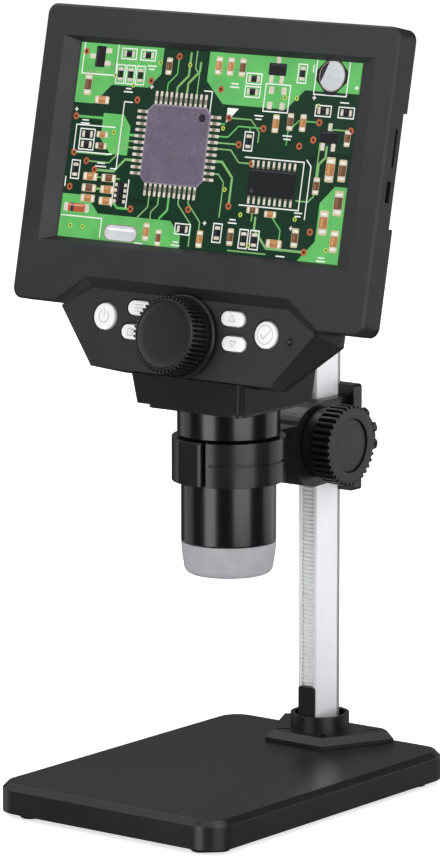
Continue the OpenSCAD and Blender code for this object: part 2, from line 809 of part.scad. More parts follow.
// Outline of the control housing where it meets the rear cover
module chin_rear_outline(c = 0) {
    offset(delta = c) polygon([
        [-panel_w / 2 - 1.6, panel_rise + 3], [panel_w / 2 + 1.6, panel_rise + 3],
        [panel_w / 2 + 1.6, -4], [panel_low_w / 2 - 4.4, -panel_drop - 0.9],
        [4.4 - panel_low_w / 2, -panel_drop - 0.9], [-panel_w / 2 - 1.6, -4]
    ]);
}

module chin_front_outline(c = 0) {
    offset(delta = c) polygon([
        [-panel_top_w / 2 - 3.6, panel_rise + 3], [panel_top_w / 2 + 3.6, panel_rise + 3],
        [panel_w / 2, -0.95], [panel_low_w / 2, -panel_drop],
        [-panel_low_w / 2, -panel_drop], [-panel_w / 2, -0.95]
    ]);
}

// Solid form of the control housing, grown by c and cut between two depths
module chin_form(c, front, back) {
    hull() {
        between(front, front + 0.01) chin_front_outline(c);
        between(back - 0.01, back) chin_rear_outline(c);
    }
}

// Opening in the bezel that frames the control panel
module bezel_window() {
    hull() {
        between(-0.01, 0) polygon([[-43.8, 10.1], [43.8, 10.1], [61.6, -2.5], [-61.6, -2.5]]);
        between(panel_set, panel_set + 0.01)
            polygon([[-panel_top_w / 2, panel_rise], [panel_top_w / 2, panel_rise],
                [panel_w / 2 + 2.6, -2.5], [-panel_w / 2 - 2.6, -2.5]]);
    }
}

// Four-sided funnel between the face's recess and the screen's edge
module screen_recess() {
    depth = bezel_t;
    intersection() {
        translate([0, 0, screen_mid]) prism_along_x(recess_w + 10)
            polygon([[-e, recess_h / 2], [depth + e, screen_h / 2], [depth + e, -screen_h / 2],
                [-e, -recess_h / 2]]);
        translate([0, 0, screen_mid - recess_h]) linear_extrude(2 * recess_h)
            polygon([[-recess_w / 2, -e], [recess_w / 2, -e], [screen_w / 2, depth + e],
                [-screen_w / 2, depth + e]]);
    }
}

module housing_outline(inset = 0) {
    translate([0, housing_h / 2])
        rounded_rect(housing_w - 2 * inset, housing_h - 2 * inset, max(housing_r - inset, 0.8));
}

bezel_back = housing_d - rear_rim;
glass_front = bezel_t + gap;
glass_t = 3;
backlight_t = 0.8;
frame_w = screen_w + 6;
frame_h = screen_h + 7;

module front_bezel() {
    color("#35363a") in_head() difference() {
        union() {
            difference() {
                translate([0, bezel_back, housing_h / 2]) rotate([90, 0, 0])
                    bevelled_plate(housing_w, housing_h, bezel_back, housing_r, housing_bevel);
                between(bezel_t, bezel_back + 1) housing_outline(shell_wall);
            }
            between(bezel_t - e, bezel_t + 3.4) translate([0, screen_mid]) difference() {
                square([frame_w + 3, frame_h + 3], center = true);
                square([frame_w + 2 * gap, frame_h + 2 * gap], center = true);
            }
            cover_screw_places() between(bezel_t - e, bezel_back) circle(d = 5.6);
            for (h = [40, 72.8])
                between(bezel_t - e, 6 - gap) translate([port_x - 3.2, h]) circle(d = 2.4);
        }
        screen_recess();
        bezel_window();
        between(bezel_t + gap, bezel_back + 1)
            translate([0, 4]) square([panel_w + 4, 16], center = true);
        cover_screw_places() between(bezel_t + 1, bezel_back + 1) circle(d = 2);
        port_openings();
    }
}

module cover_screw_places() {
    for (s = [-1, 1]) {
        translate([s * (housing_w / 2 - 6.2), 0, 12]) children();
        translate([s * (housing_w / 2 - 6.2), 0, housing_h - 6.2]) children();
    }
}

/* ---------- head: rear cover ---------- */

spine_w = neck_w + 2 * neck_flare;
spine_foot = neck_foot_z + neck_h;

// Side outline of the spine behind the screen, grown by c; Y from the tube's axis
module spine_outline(c = 0) {
    offset(delta = c) polygon([
        [-40, spine_foot], [neck_rear + neck_flare * 0.4, spine_foot],
        [neck_rear + neck_flare * 0.4, spine_foot + 12], [neck_rear - 3, spine_foot + 46],
        [9, spine_foot + 72], [-40, spine_foot + 80]
    ]);
}

module spine_form(w, c) {
    translate([0, tube_y, 0]) prism_along_x(w) spine_outline(c);
}

// Space that the spine takes behind the housing, from a depth backwards
module spine_solid(c, front) {
    intersection() {
        spine_form(spine_w + 2 * c, c);
        in_head() between(front, 60) translate([-60, -60]) square([120, 200]);
        translate([-60, -60, spine_foot + gap / 2]) cube([120, 120, 120]);
    }
}

module rear_cover() {
    lid_w = panel_w + 3.2;
    color("#2b2c2f") difference() {
        union() {
            in_head() {
                between(bezel_back + gap, housing_d) housing_outline();
                between(chin_back + gap, chin_back + shell_wall) chin_rear_outline();
                between(housing_d - e, chin_back + shell_wall)
                    translate([-lid_w / 2, gap]) square([lid_w, panel_rise + 3 - gap]);
            }
            spine_solid(0, housing_d - 1);
        }
        in_head() {
            between(bezel_back - 1, bezel_back + 0.6) housing_outline(shell_wall + 0.2);
            between(bezel_back - 1, chin_back + gap)
                translate([shell_wall - lid_w / 2, -30])
                    square([lid_w - 2 * shell_wall, 30 + panel_rise + 3 - shell_wall]);
            between(bezel_back - 1, chin_back + gap) translate([-90, -60]) square([180, 60 + gap]);
            between(chin_back - 1, chin_back + shell_wall + 1)
                translate([-21, -17]) square([42, 22]);
            cover_screw_places() between(bezel_back - 1, housing_d + 1) circle(d = 2.5);
            cover_screw_places() between(housing_d - 1.1, housing_d + 1) circle(d = 5);
            port_notch();
            speaker_slots();
        }
        spine_solid(-shell_wall, bezel_back - 1);
        translate([0.3 + shell_wall - spine_w / 2, tube_y - 12.2, spine_foot - 1])
            cube([spine_w - 2 * shell_wall - 0.6, 12 + neck_rear + neck_flare * 0.4 - shell_wall, 5]);
    }
}

// Notch in the cover's right edge, beside the sockets
module port_notch() {
    between(housing_d - 2, housing_d + 1) translate([housing_w / 2 - 1.4, 37]) square([5, 39]);
}

module speaker_slots() {
    for (i = [0 : 5])
        between(bezel_back - 1, housing_d + 1) translate([-46, 44 + i * 4]) stadium(16, 1.6);
}

/* ---------- head: control housing ---------- */

module button_spots(c) {
    for (s = [-1, 1]) {
        translate([s * round_button_x, -2.9]) circle(d = round_button_d + 2 * c);
        translate([s * long_button_x, 1.2]) stadium(long_button_l + 2 * c, long_button_w + 2 * c);
        translate([s * (long_button_x + long_button_step), 1.2 - long_button_pitch])
            stadium(long_button_l + 2 * c, long_button_w + 2 * c);
    }
}

lamp_x = 44.9;
lamp_h = -4.4;

module control_housing() {
    color("#3a3b3f") in_head() difference() {
        chin_form(0, panel_set, chin_back);
        chin_form(-shell_wall, panel_set + panel_t, chin_back + 0.5);
        between(panel_set + panel_t, chin_back + 1) translate([-90, -gap]) square([180, 40]);
        between(panel_set - 1, panel_set + 0.5) button_spots(0.7);
        between(panel_set - 1, panel_set + panel_t + 1) button_spots(button_play);
        between(panel_set - 1, panel_set + panel_t + 1) translate([lamp_x, lamp_h]) circle(d = 2.4);
        focus_axis() translate([0, 0, -panel_set - panel_t - 1])
            cylinder(h = 5, r = shaft_d / 2 + 0.3);
    }
}

// The focus axis: origin on the bezel's face plane, Z towards the viewer
module focus_axis() {
    translate([0, 0, -focus_drop]) rotate([90, 0, 0]) children();
}

board_front = panel_set + panel_t + 4.2;

module keypad_board() {
    color("#1f5b34") in_head() difference() {
        between(board_front, board_front + 1.2) difference() {
            translate([0, -6.3]) square([82, 20.6], center = true);
            for (s = [-1, 1])
                translate([s * 44.5, -20.5]) rotate(45) square(14, center = true);
        }
        between(board_front - 1, board_front + 2) translate([0, -focus_drop]) circle(d = 9);
    }
}

module key_switches() {
    color("#c9cbcd") in_head() difference() {
        between(board_front - 2, board_front - gap / 2) switch_spots() square([5.2, 5.2], center = true);
        between(board_front - 3, board_front - 0.6) switch_spots() circle(d = 2.9);
    }
}

module switch_spots() {
    for (s = [-1, 1]) {
        translate([s * round_button_x, -2.9]) children();
        translate([s * long_button_x, 1.2]) children();
        translate([s * (long_button_x + long_button_step), 1.2 - long_button_pitch]) children();
    }
}

module indicator_lamp() {
    color("#1d2326") in_head() translate([lamp_x, 0, lamp_h]) rotate([90, 0, 0]) {
        translate([0, 0, -panel_set - 0.2]) sphere(d = 2.1);
        translate([0, 0, -panel_set - panel_t - 0.6]) cylinder(h = panel_t + 0.4, d = 2.1);
        translate([0, 0, -panel_set - panel_t - 1.4]) cylinder(h = 0.8 + e, d = 3.2);
    }
}

/* ---------- head: what the housing holds ---------- */

module lcd_panel() {
    color("#2d6b3c") in_head() between(glass_front, glass_front + glass_t)
        translate([0, screen_mid]) square([frame_w, frame_h], center = true);
}

board_at = 11.2;
board_mid = 36;

module board_posts() {
    for (i = [-1, 1], j = [-1, 1])
        translate([i * 16.4, board_mid + j * 17.4]) children();
}

module backlight() {
    back = glass_front + glass_t + backlight_t;
    color("#b4b7ba") in_head() {
        between(glass_front + glass_t + gap / 2, back)
            translate([0, screen_mid]) square([frame_w - 1, frame_h - 1], center = true);
        between(back - e, board_at - gap / 2) board_posts() circle(d = 4);
        between(back - e, board_at + 1.8) board_posts() circle(d = 1.9);
    }
}

module main_board() {
    color("#1f5b34") in_head() difference() {
        union() {
            between(board_at, board_at + 1.4) translate([0, board_mid]) square([38, 40], center = true);
            between(board_at - 1.6, board_at + e) {
                translate([-4, board_mid + 4]) square([12, 12], center = true);
                translate([9, board_mid - 8]) square([9, 7], center = true);
            }
            between(board_at + 1.4 - e, board_at + 2.8) {
                translate([-8, board_mid - 8]) square([10, 8], center = true);
                for (i = [0 : 3])
                    translate([8 * i - 12, board_mid + 14]) square([4, 3], center = true);
            }
        }
        between(board_at - 1, board_at + 3) board_posts() circle(d = 2.2);
    }
}

module battery() {
    color("#9aa3ad") in_head() between(board_at + 2.9, board_at + 8.5)
        translate([0, board_mid - 1]) rounded_rect(36, 36, 1.5);
}

port_x = housing_w / 2 - shell_wall;

module port_board() {
    color("#1f5b34") in_head()
        between(6, 7) translate([port_x - 5.4, 56]) square([8.6, 36], center = true);
}

module usb_socket() {
    color("#b9bcc0") in_head() difference() {
        translate([port_x - 6.3, 3.1, 45.3]) cube([5.9, 2.85, 7.6]);
        translate([port_x - 5, 3.5, 45.7]) cube([6, 2.05, 6.8]);
    }
}

module card_socket() {
    color("#a5a8ac") in_head() difference() {
        translate([port_x - 8.6, 4.2, 57]) cube([8.2, 1.75, 14]);
        translate([port_x - 7.6, 4.55, 57.8]) cube([9, 1.05, 12.4]);
    }
}

module port_openings() {
    translate([port_x - 1, 3.3, 45.5]) cube([10, 2.45, 7.2]);
    translate([port_x - 1, 4.4, 57.6]) cube([10, 1.35, 12.8]);
}

/* ---------- neck and tube ---------- */

// The neck's outer form, grown by c
module neck_form(c) {
    r = 2;
    mid = (neck_rear - neck_front) / 2;
    len = neck_rear + neck_front;
    translate([0, tube_y + mid, neck_foot_z]) hull() {
        linear_extrude(0.01) rounded_rect(neck_w + 2 * c, len + 2 * c, r + c, $fn = 32);
        translate([0, -neck_flare * 0.3, neck_h]) linear_extrude(0.01)
            rounded_rect(neck_w + 2 * (c + neck_flare), len + 2 * c + 1.4 * neck_flare, r + c, $fn = 32);
    }
}

// What the neck makes room for: the control housing and the rear cover
module head_clearance() {
    in_head() {
        chin_form(2 * gap, panel_set, chin_back);
        between(chin_back - 1, chin_back + shell_wall + gap) chin_rear_outline(gap);
        between(-10, chin_back + shell_wall + gap) translate([-60, -14]) square([120, 40]);
    }
}

seam_y = 2.2;

module neck_shell() {
    difference() {
        neck_form(0);
        difference() {
            neck_form(-shell_wall);
            translate([-50, tube_y - 50, neck_foot_z - 1]) cube([100, 100, 1 + shell_wall]);
        }
        translate([-50, tube_y - 50, neck_foot_z + neck_h - 0.01]) cube([100, 100, 5]);
        translate([0, tube_y, neck_foot_z - 1]) cylinder(h = shell_wall + 2, r = tube_flange_r + gap);
        head_clearance();
    }
}

tube_flange_r = 19.8;

module neck_front() {
    cut = tube_y - neck_front + seam_y;
    color("#2b2c2f") intersection() {
        neck_shell();
        translate([-50, cut - 20 - gap / 2, neck_foot_z - 1]) cube([100, 20, neck_h + 10]);
    }
}

module neck_body() {
    cut = tube_y - neck_front + seam_y;
    color("#303134") difference() {
        intersection() {
            neck_shell();
            translate([-50, cut + gap / 2, neck_foot_z - 1]) cube([100, 80, neck_h + 10]);
        }
        neck_screw_places() translate([0, 0, neck_foot_z - 1]) cylinder(h = 5, d = 2);
    }
}

module neck_screw_places() {
    translate([0, tube_y, 0]) for (i = [-1, 1]) {
        translate([i * 17.3, 15.2, 0]) children();
        translate([i * 17.3, -15.6, 0]) children();
    }
}

module neck_plate() {
    color("#2b2c2f") difference() {
        translate([0, tube_y, neck_z]) {
            linear_extrude(neck_plate_t) translate([0, (22.2 - neck_front) / 2])
                rounded_rect(neck_w - 5, 16.8 + neck_front, 3.5);
        }
        translate([0, tube_y, neck_z - 1]) cylinder(h = 5, d = upper_d + 2 * gap);
        neck_screw_places() translate([0, 0, neck_z - 1]) {
            cylinder(h = 5, d = 2.4);
            cylinder(h = 1.9, d = 4);
        }
    }
}

module neck_screws() {
    color("#55585c") neck_screw_places() translate([0, 0, neck_z + 0.9 - gap])
        screw(1.9, neck_plate_t + 1.6, 3.7, 0.75);
}

tube_foot_d = max(upper_d, lower_d + 2.7);
spigot_l = 7;
spigot_d = 31.4;

module upper_tube() {
    color("#151618") translate([0, tube_y, 0]) difference() {
        union() {
            translate([0, 0, shoulder_z + 0.5])
                cylinder(h = neck_foot_z + 2.6 - shoulder_z - 0.5, d = upper_d);
            translate([0, 0, shoulder_z]) cylinder(h = 0.5, d1 = tube_foot_d - 1, d2 = tube_foot_d);
            translate([0, 0, shoulder_z + 0.5]) cylinder(h = 1.5, d = tube_foot_d);
            translate([0, 0, neck_foot_z]) cylinder(h = 2.6, r = tube_flange_r);
        }
        translate([0, 0, shoulder_z - 1]) cylinder(h = 30, d = tube_bore);
        translate([0, 0, shoulder_z - 1]) cylinder(h = 1 + spigot_l, d = spigot_d);
    }
}

module lower_tube() {
    color("#151618") translate([0, tube_y, 0]) difference() {
        union() {
            translate([0, 0, cap_top_z]) cylinder(h = shoulder_z - gap - cap_top_z, d = lower_d);
            translate([0, 0, cap_top_z]) cylinder(h = shoulder_z + spigot_l - gap - cap_top_z, d = spigot_d - 0.1);
        }
        translate([0, 0, cap_top_z - 1]) cylinder(h = 80, d = tube_bore);
        translate([0, 0, cap_top_z - 1]) cylinder(h = 6, d = 30);
    }
}

led_z = cap_top_z + 3.6;

module led_board() {
    color("#e9ebe6") translate([0, tube_y, led_z]) difference() {
        cylinder(h = 1.2, d = 29.8);
        translate([0, 0, -1]) cylinder(h = 4, d = 13);
    }
}

module leds() {
    color("#f4efc4") translate([0, tube_y, led_z - 0.9]) for (i = [0 : led_count - 1])
        rotate(i * 360 / led_count) translate([10.3, 0, 0.4]) cube([3.4, 2.8, 0.9], center = true);
}

module light_cap() {
    mouth_r = cap_mouth_d / 2;
    color("#a9abb0", 0.9) translate([0, tube_y, cap_top_z - gap / 2]) rotate_extrude() polygon(concat(
        [[lower_d / 2, 0], [lower_d / 2, -cap_h * 0.35]],
        [for (k = [1 : 7]) let (a = k * 90 / 7)
            [mouth_r - 1.4 + (lower_d / 2 - mouth_r + 1.4) * cos(a), -cap_h * 0.35 - cap_h * 0.65 * sin(a)]],
        [[9.6, -cap_h], [9.6, -cap_h + cap_wall], [mouth_r - 2.6, -cap_h + cap_wall + 0.2]],
        [for (k = [4 : -1 : 1]) let (a = k * 90 / 5)
            [mouth_r - 2.6 + (lower_d / 2 - cap_wall - mouth_r + 2.6) * cos(a),
             -cap_h * 0.35 - (cap_h * 0.65 - cap_wall - 0.2) * sin(a)]],
        [[14, -cap_h * 0.3], [14, 3.4], [14.9, 3.4], [14.9, 0]]));
}

module focus_bracket() {
    z0 = neck_foot_z + 2.6 + gap;
    color("#7d8084") difference() {
        union() {
            for (s = [-1, 1])
                translate([s * 17, tube_y + 2.4, z0]) translate([-1.4, -2, 0]) cube([2.8, 4, 20]);
            translate([-18.4, tube_y + 0.4, z0 + 12.6]) cube([36.8, 4, 9.4]);
        }
        in_head() focus_axis() translate([0, 0, -60]) cylinder(h = 60, r = shaft_d / 2 + shaft_play);
    }
}

module cover_screws() {
    color("#55585c") in_head() cover_screw_places() translate([0, housing_d - 1.1 + gap / 2, 0])
        rotate([90, 0, 0]) screw(1.9, 4.8, 4.4, 1);
}

/* ---------- fine focus ---------- */

focus_back = panel_set - seat;

module focus_knob() {
    root = focus_grip_d / 2 - 0.7;
    color("#303134") in_head() focus_axis() difference() {
        union() {
            translate([0, 0, -focus_back])
                cylinder(h = 0.9, d1 = focus_flange_d - 2.8, d2 = focus_flange_d);
            translate([0, 0, 0.9 - focus_back]) cylinder(h = 1, d = focus_flange_d);
            translate([0, 0, 1.9 - focus_back]) cylinder(h = 0.5, d1 = focus_flange_d, d2 = focus_flange_d - 1);
            translate([0, 0, -focus_back]) cylinder(h = focus_reach + focus_back - 1, r = root);
            translate([0, 0, focus_reach - 1]) cylinder(h = 1, r1 = root, r2 = root - 0.7);
            translate([0, 0, 0.4]) linear_extrude(focus_reach - 1.6)
                polygon(rib_points(focus_ribs, root - 0.05, focus_grip_d / 2, 0.62, false));
        }
        translate([0, 0, focus_reach - 1]) cylinder(h = 2, r = root - 1.6);
        translate([0, 0, -focus_back - 1]) cylinder(h = focus_reach + focus_back, r = shaft_d / 2 + 0.02);
    }
}

module focus_disc() {
    r = focus_grip_d / 2 - 2.4;
    color("#3b3c3f") in_head() focus_axis() translate([0, 0, focus_reach - 1 + gap / 2]) difference() {
        cylinder(h = 0.75, r = r);
        translate([0, 0, 60.35]) sphere(r = 60, $fn = 200);
    }
}

focus_pinion_at = 19.5;

module focus_shaft() {
    color("#b9bcc0") in_head() focus_axis() {
        translate([0, 0, -focus_shaft_l]) cylinder(h = focus_shaft_l + focus_reach - 2.4, d = shaft_d);
        translate([0, 0, -focus_pinion_at - 3]) linear_extrude(6) polygon(pinion_points());
    }
}

carrier_low = cap_top_z + 13;
carrier_h = 37;

module lens_carrier() {
    color("#26272a") {
        translate([0, tube_y, carrier_low]) difference() {
            cylinder(h = carrier_h, d = tube_bore - 2 * 0.08);
            translate([0, 0, -1]) cylinder(h = carrier_h - 1, d = 22);
            translate([0, 0, -1]) cylinder(h = carrier_h + 2, d = 12);
        }
        lens_rack();
    }
}

// Toothed bar on the carrier; its teeth run along the tilted focus axis
module lens_rack() {
    carrier_top = carrier_low + carrier_h;
    mesh_z = face_z - focus_drop * cos(tilt) - focus_pinion_at * sin(tilt);
    mesh_y = face_y - focus_drop * sin(tilt) + focus_pinion_at * cos(tilt);
    intersection() {
        translate([0, mesh_y, mesh_z]) rotate([-tilt, 0, 0]) rotate([90, 0, 0])
            translate([0, 0, -9]) linear_extrude(18)
                polygon([for (p = rack_points(-34, 20, rack_pitch, 6)) [p[0] + pinion_pr, p[1]]]);
        translate([0, mesh_y - 3, carrier_top - e]) cube([pinion_pr + 4, 6, mesh_z + 9 - carrier_top]);
    }
}

module lens_glass() {
    color("#9fc3d6") translate([0, tube_y, carrier_low + 4]) difference() {
        union() {
            cylinder(h = 3, d = 21.8);
            translate([0, 0, 9]) cylinder(h = 2.4, d = 21.8);
        }
    }
}

module sensor_board() {
    top = carrier_low + carrier_h;
    color("#1f5b34") translate([0, tube_y, top + gap / 2]) difference() {
        union() {
            cylinder(h = 1.2, d = 25);
            translate([-5, -5, 1.2 - e]) cube([8, 10, 0.8]);
        }
        translate([2.4, -14, -1]) cube([20, 20, 5]);
    }
}

/* ---------- buttons ---------- */

// A button: its cap, its collar behind the panel and the post on its switch
module button(x, h) {
    post_end = board_front - 2 + 0.2;
    color("#f2f2f0") in_head() translate([x, 0, h]) {
        between(panel_set - button_proud, panel_set + panel_t + button_travel + 0.2) children();
        between(panel_set + panel_t + 0.15, panel_set + panel_t + 0.9) offset(delta = 0.8) children();
        between(panel_set + panel_t, post_end) circle(d = 2.4);
    }
}

module power_button() {
    button(-round_button_x, -2.9) circle(d = round_button_d);
}

module ok_button() {
    button(round_button_x, -2.9) circle(d = round_button_d);
}

module menu_button() {
    button(-long_button_x, 1.2) stadium(long_button_l, long_button_w);
}

module capture_button() {
    button(-long_button_x - long_button_step, 1.2 - long_button_pitch) stadium(long_button_l, long_button_w);
}

module up_button() {
    button(long_button_x, 1.2) stadium(long_button_l, long_button_w);
}

module down_button() {
    button(long_button_x + long_button_step, 1.2 - long_button_pitch) stadium(long_button_l, long_button_w);
}

base_plate();
base_weight();
weight_screws();
base_feet();
pole_flange();
flange_screws();
pole_bolt();
pole();
rack();
rack_stop();
pole_cap();
carriage_block();
carriage_back();
slide_pads();
carriage_screws();
shaft_bushes();
lock_knob();
lock_screw();
pinion_shaft();
coarse_knob_right();
coarse_knob_left();
coarse_knob_discs();
front_bezel();
rear_cover();
control_housing();
lcd_panel();
backlight();
main_board();
battery();
port_board();
usb_socket();
card_socket();
keypad_board();
key_switches();
indicator_lamp();
neck_front();
neck_body();
neck_plate();
upper_tube();
lower_tube();
led_board();
leds();
light_cap();
focus_bracket();
cover_screws();
neck_screws();
focus_knob();
focus_disc();
focus_shaft();
lens_carrier();
lens_glass();
sensor_board();
power_button();
ok_button();
menu_button();
capture_button();
up_button();
down_button();
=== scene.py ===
import math
import bmesh
import bpy
from mathutils import Matrix, Vector


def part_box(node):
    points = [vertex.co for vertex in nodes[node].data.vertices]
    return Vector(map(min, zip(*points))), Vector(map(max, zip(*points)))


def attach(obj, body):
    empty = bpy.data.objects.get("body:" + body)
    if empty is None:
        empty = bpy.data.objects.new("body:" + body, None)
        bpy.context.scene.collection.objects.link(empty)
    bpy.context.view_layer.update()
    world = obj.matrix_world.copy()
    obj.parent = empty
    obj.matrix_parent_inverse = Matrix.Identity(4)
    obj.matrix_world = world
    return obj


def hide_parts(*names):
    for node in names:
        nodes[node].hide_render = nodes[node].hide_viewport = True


# Looks of a screen microscope on its pole stand, built round the fixed frame.
# Lengths are millimetres until they go into a mesh, angles degrees.

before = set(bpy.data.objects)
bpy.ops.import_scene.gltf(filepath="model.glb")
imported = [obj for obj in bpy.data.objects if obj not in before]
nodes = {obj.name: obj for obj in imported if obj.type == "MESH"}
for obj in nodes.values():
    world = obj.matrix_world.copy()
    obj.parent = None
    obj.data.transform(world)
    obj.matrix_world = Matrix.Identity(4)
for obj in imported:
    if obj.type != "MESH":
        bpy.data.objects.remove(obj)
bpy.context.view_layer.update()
print("frame loaded:", len(nodes), "nodes")

mm = 0.001
smooth = 32  # an edge that turns by more than this is shown sharp


def middleY(name):
    low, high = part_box(name)
    return (low.y + high.y) / 2 / mm


tubeY = middleY("lower_tube")
screenFoot = (tubeY - 26.5, 175.2)  # y and z at the foot of the screen's face
screenLean = math.radians(12)
focusDrop = 7  # from the screen's foot down to the focus axis
coarseAxis = (middleY("coarse_knob_right"), 122.7)
coarseStart = 8.3  # from the middle plane to a coarse knob
lockAxis = (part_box("lock_knob")[0].y / mm, 120.9)
shaftHole = 2.05  # radius of the bore in each knob


def paint(code):
    parts = [int(code[i:i + 2], 16) / 255 for i in (0, 2, 4)]
    return tuple(v / 12.92 if v <= 0.04045 else ((v + 0.055) / 1.055) ** 2.4 for v in parts) + (1,)


# places: each turns a piece's own millimetres into the frame's metres

def onTube(point):
    return Vector((point[0], point[1] + tubeY, point[2])) * mm


def onHead(point):
    # x across the screen, y into the housing, z up the screen
    x, y, z = point
    c, s = math.cos(screenLean), math.sin(screenLean)
    return Vector((x, screenFoot[0] + y * c + z * s, screenFoot[1] + z * c - y * s)) * mm


def onFocus(point):
    # z comes out of the bezel along the focus axis
    return onHead((point[0], -point[2], point[1] - focusDrop))


def onCoarse(side):
    def place(p):
        return Vector((side * (coarseStart + p[2]), coarseAxis[0] + p[0] * side, coarseAxis[1] + p[1])) * mm
    return place


def onLock(point):
    return Vector((-point[0], lockAxis[0] + point[2], lockAxis[1] + point[1])) * mm


def addObject(name, data):
    thing = bpy.data.objects.new(name, data)
    bpy.context.scene.collection.objects.link(thing)
    return thing


def rawShape(name, points, faces, place=None):
    mesh = bpy.data.meshes.new(name)
    mesh.from_pydata([place(p) if place else Vector(p) * mm for p in points], [], faces)
    return addObject(name, mesh)


def tidyMesh(mesh, sharp=smooth):
    work = bmesh.new()
    work.from_mesh(mesh)
    bmesh.ops.remove_doubles(work, verts=work.verts, dist=1e-7)
    bmesh.ops.dissolve_degenerate(work, edges=work.edges, dist=1e-8)
    bmesh.ops.recalc_face_normals(work, faces=work.faces)
    work.to_mesh(mesh)
    work.free()
    mesh.polygons.foreach_set("use_smooth", [True] * len(mesh.polygons))
    mesh.set_sharp_from_angle(angle=math.radians(sharp))
    mesh.update()


def addPiece(name, points, faces, place, sharp=smooth):
    piece = rawShape(name, points, faces, place)
    tidyMesh(piece.data, sharp)
    return piece


def fit(piece, body, node=None, finish=None):
    # the body it moves with, its material slot, and the node that it stands for
    if finish:
        piece.data.materials.append(finish)
    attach(piece, body)
    if node:
        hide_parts(node)


def rounded(corners, steps=5):
    # corners are (r, z, fillet); the line is closed and each corner becomes an arc
    out = []
    count = len(corners)
    for i, (r, z, fillet) in enumerate(corners):
        here = Vector((r, z))
        back = Vector(corners[i - 1][:2]) - here
        ahead = Vector(corners[(i + 1) % count][:2]) - here
        if fillet <= 0 or back.length < 1e-6 or ahead.length < 1e-6:
            out.append((r, z))
            continue
        cut = min(fillet, back.length * 0.48, ahead.length * 0.48)
        start, end = here + back.normalized() * cut, here + ahead.normalized() * cut
        for k in range(steps + 1):
            t = k / steps
            p = start * (1 - t) ** 2 + here * 2 * t * (1 - t) + end * t * t
            out.append((p.x, p.y))
    return out


def spun(name, line, place, steps=144, sharp=smooth):
    # a closed line of (r, z) turned round the piece's own z
    points, faces = [], []
    n = len(line)
    for i in range(steps):
        a, j = 2 * math.pi * i / steps, (i + 1) % steps
        points += [(r * math.cos(a), r * math.sin(a), z) for r, z in line]
        faces += [(i * n + k, j * n + k, j * n + (k + 1) % n, i * n + (k + 1) % n) for k in range(n)]
    return addPiece(name, points, faces, place, sharp)


def skinned(rings):
    # faces of a closed body from rings of equally many points
    n, top = len(rings[0]), (len(rings) - 1) * len(rings[0])
    faces = [tuple(range(n)), tuple(range(top, top + n))]
    for low in range(0, top, n):
        faces += [(low + k, low + (k + 1) % n, low + n + (k + 1) % n, low + n + k) for k in range(n)]
    return [point for ring in rings for point in ring], faces


def prism(outline, front, back):
    # a flat shape in x and z, with its thickness along y
    n = len(outline)
    points = [(u, y, v) for y in (front, back) for u, v in outline]
    sides = [(k, n + k, n + (k + 1) % n, (k + 1) % n) for k in range(n)]
    return points, [tuple(range(n)), tuple(range(2 * n - 1, n - 1, -1))] + sides


def block(size, middle, chamfer):
    work = bmesh.new()
    bmesh.ops.create_cube(work, size=1)
    bmesh.ops.scale(work, vec=size, verts=work.verts)
    bmesh.ops.bevel(work, geom=work.edges[:], offset=chamfer, segments=1, affect="EDGES")
    points = [tuple(v.co + Vector(middle)) for v in work.verts]
    faces = [tuple(v.index for v in f.verts) for f in work.faces]
    work.free()
    return points, faces


def merged(parts):
    points, faces = [], []
    for morePoints, moreFaces in parts:
        start = len(points)
        points += morePoints
        faces += [tuple(i + start for i in face) for face in moreFaces]
    return points, faces


def newMaterial(name, shader):
    material = bpy.data.materials.new(name)
    material.use_nodes = True
    tree = material.node_tree
    surface = tree.nodes["Principled BSDF"]
    for socket, value in shader.items():
        surface.inputs[socket].default_value = value
    place = tree.nodes.new("ShaderNodeTexCoord").outputs["Object"]
    return material, tree, surface, place


def addNode(tree, kind, links=None, values=None, **settings):
    node = tree.nodes.new("ShaderNode" + kind)
    for key, value in settings.items():
        setattr(node, key, value)
    for key, value in (values or {}).items():
        node.inputs[key].default_value = value
    for key, output in (links or {}).items():
        tree.links.new(output, node.inputs[key])
    return node


def stretched(tree, place, scale, turn=(0, 0, 0)):
    return addNode(tree, "Mapping", {"Vector": place}, {"Scale": scale, "Rotation": turn}).outputs["Vector"]


def addNoise(tree, place, size, detail=3, rough=0.55):
    # size is the width of a blotch
    return addNode(tree, "TexNoise", {"Vector": place},
                   {"Scale": 1 / (size * mm), "Detail": detail, "Roughness": rough}).outputs["Fac"]


def addCells(tree, place, scale, loose):
    cells = addNode(tree, "TexVoronoi", {"Vector": place}, {"Scale": scale, "Randomness": loose})
    return cells.outputs["Distance"]


def spread(tree, value, low, high, start=0.3, end=0.7):
    return addNode(tree, "MapRange", {"Value": value},
                   {"From Min": start, "From Max": end, "To Min": low, "To Max": high}).outputs["Result"]


def blend(tree, factor, first, second):
    node = tree.nodes.new("ShaderNodeMix")
    node.data_type = "RGBA"
    for key, value in ((0, factor), (6, first), (7, second)):
        if isinstance(value, tuple):
            node.inputs[key].default_value = value
        else:
            tree.links.new(value, node.inputs[key])
    return node.outputs[2]


def edgeMask(tree, radius):
    # one on worn edges, nought on flats
    soft = addNode(tree, "Bevel", values={"Radius": radius * mm}, samples=6).outputs["Normal"]
    flat = tree.nodes.new("ShaderNodeNewGeometry").outputs["Normal"]
    match = addNode(tree, "VectorMath", {0: soft, 1: flat}, operation="DOT_PRODUCT").outputs["Value"]
    return soft, spread(tree, match, 1, 0, 0.80, 0.985)


def coat(tree, surface, tone, rough=None):
    tree.links.new(tone, surface.inputs["Base Color"])
    if rough:
        tree.links.new(rough, surface.inputs["Roughness"])


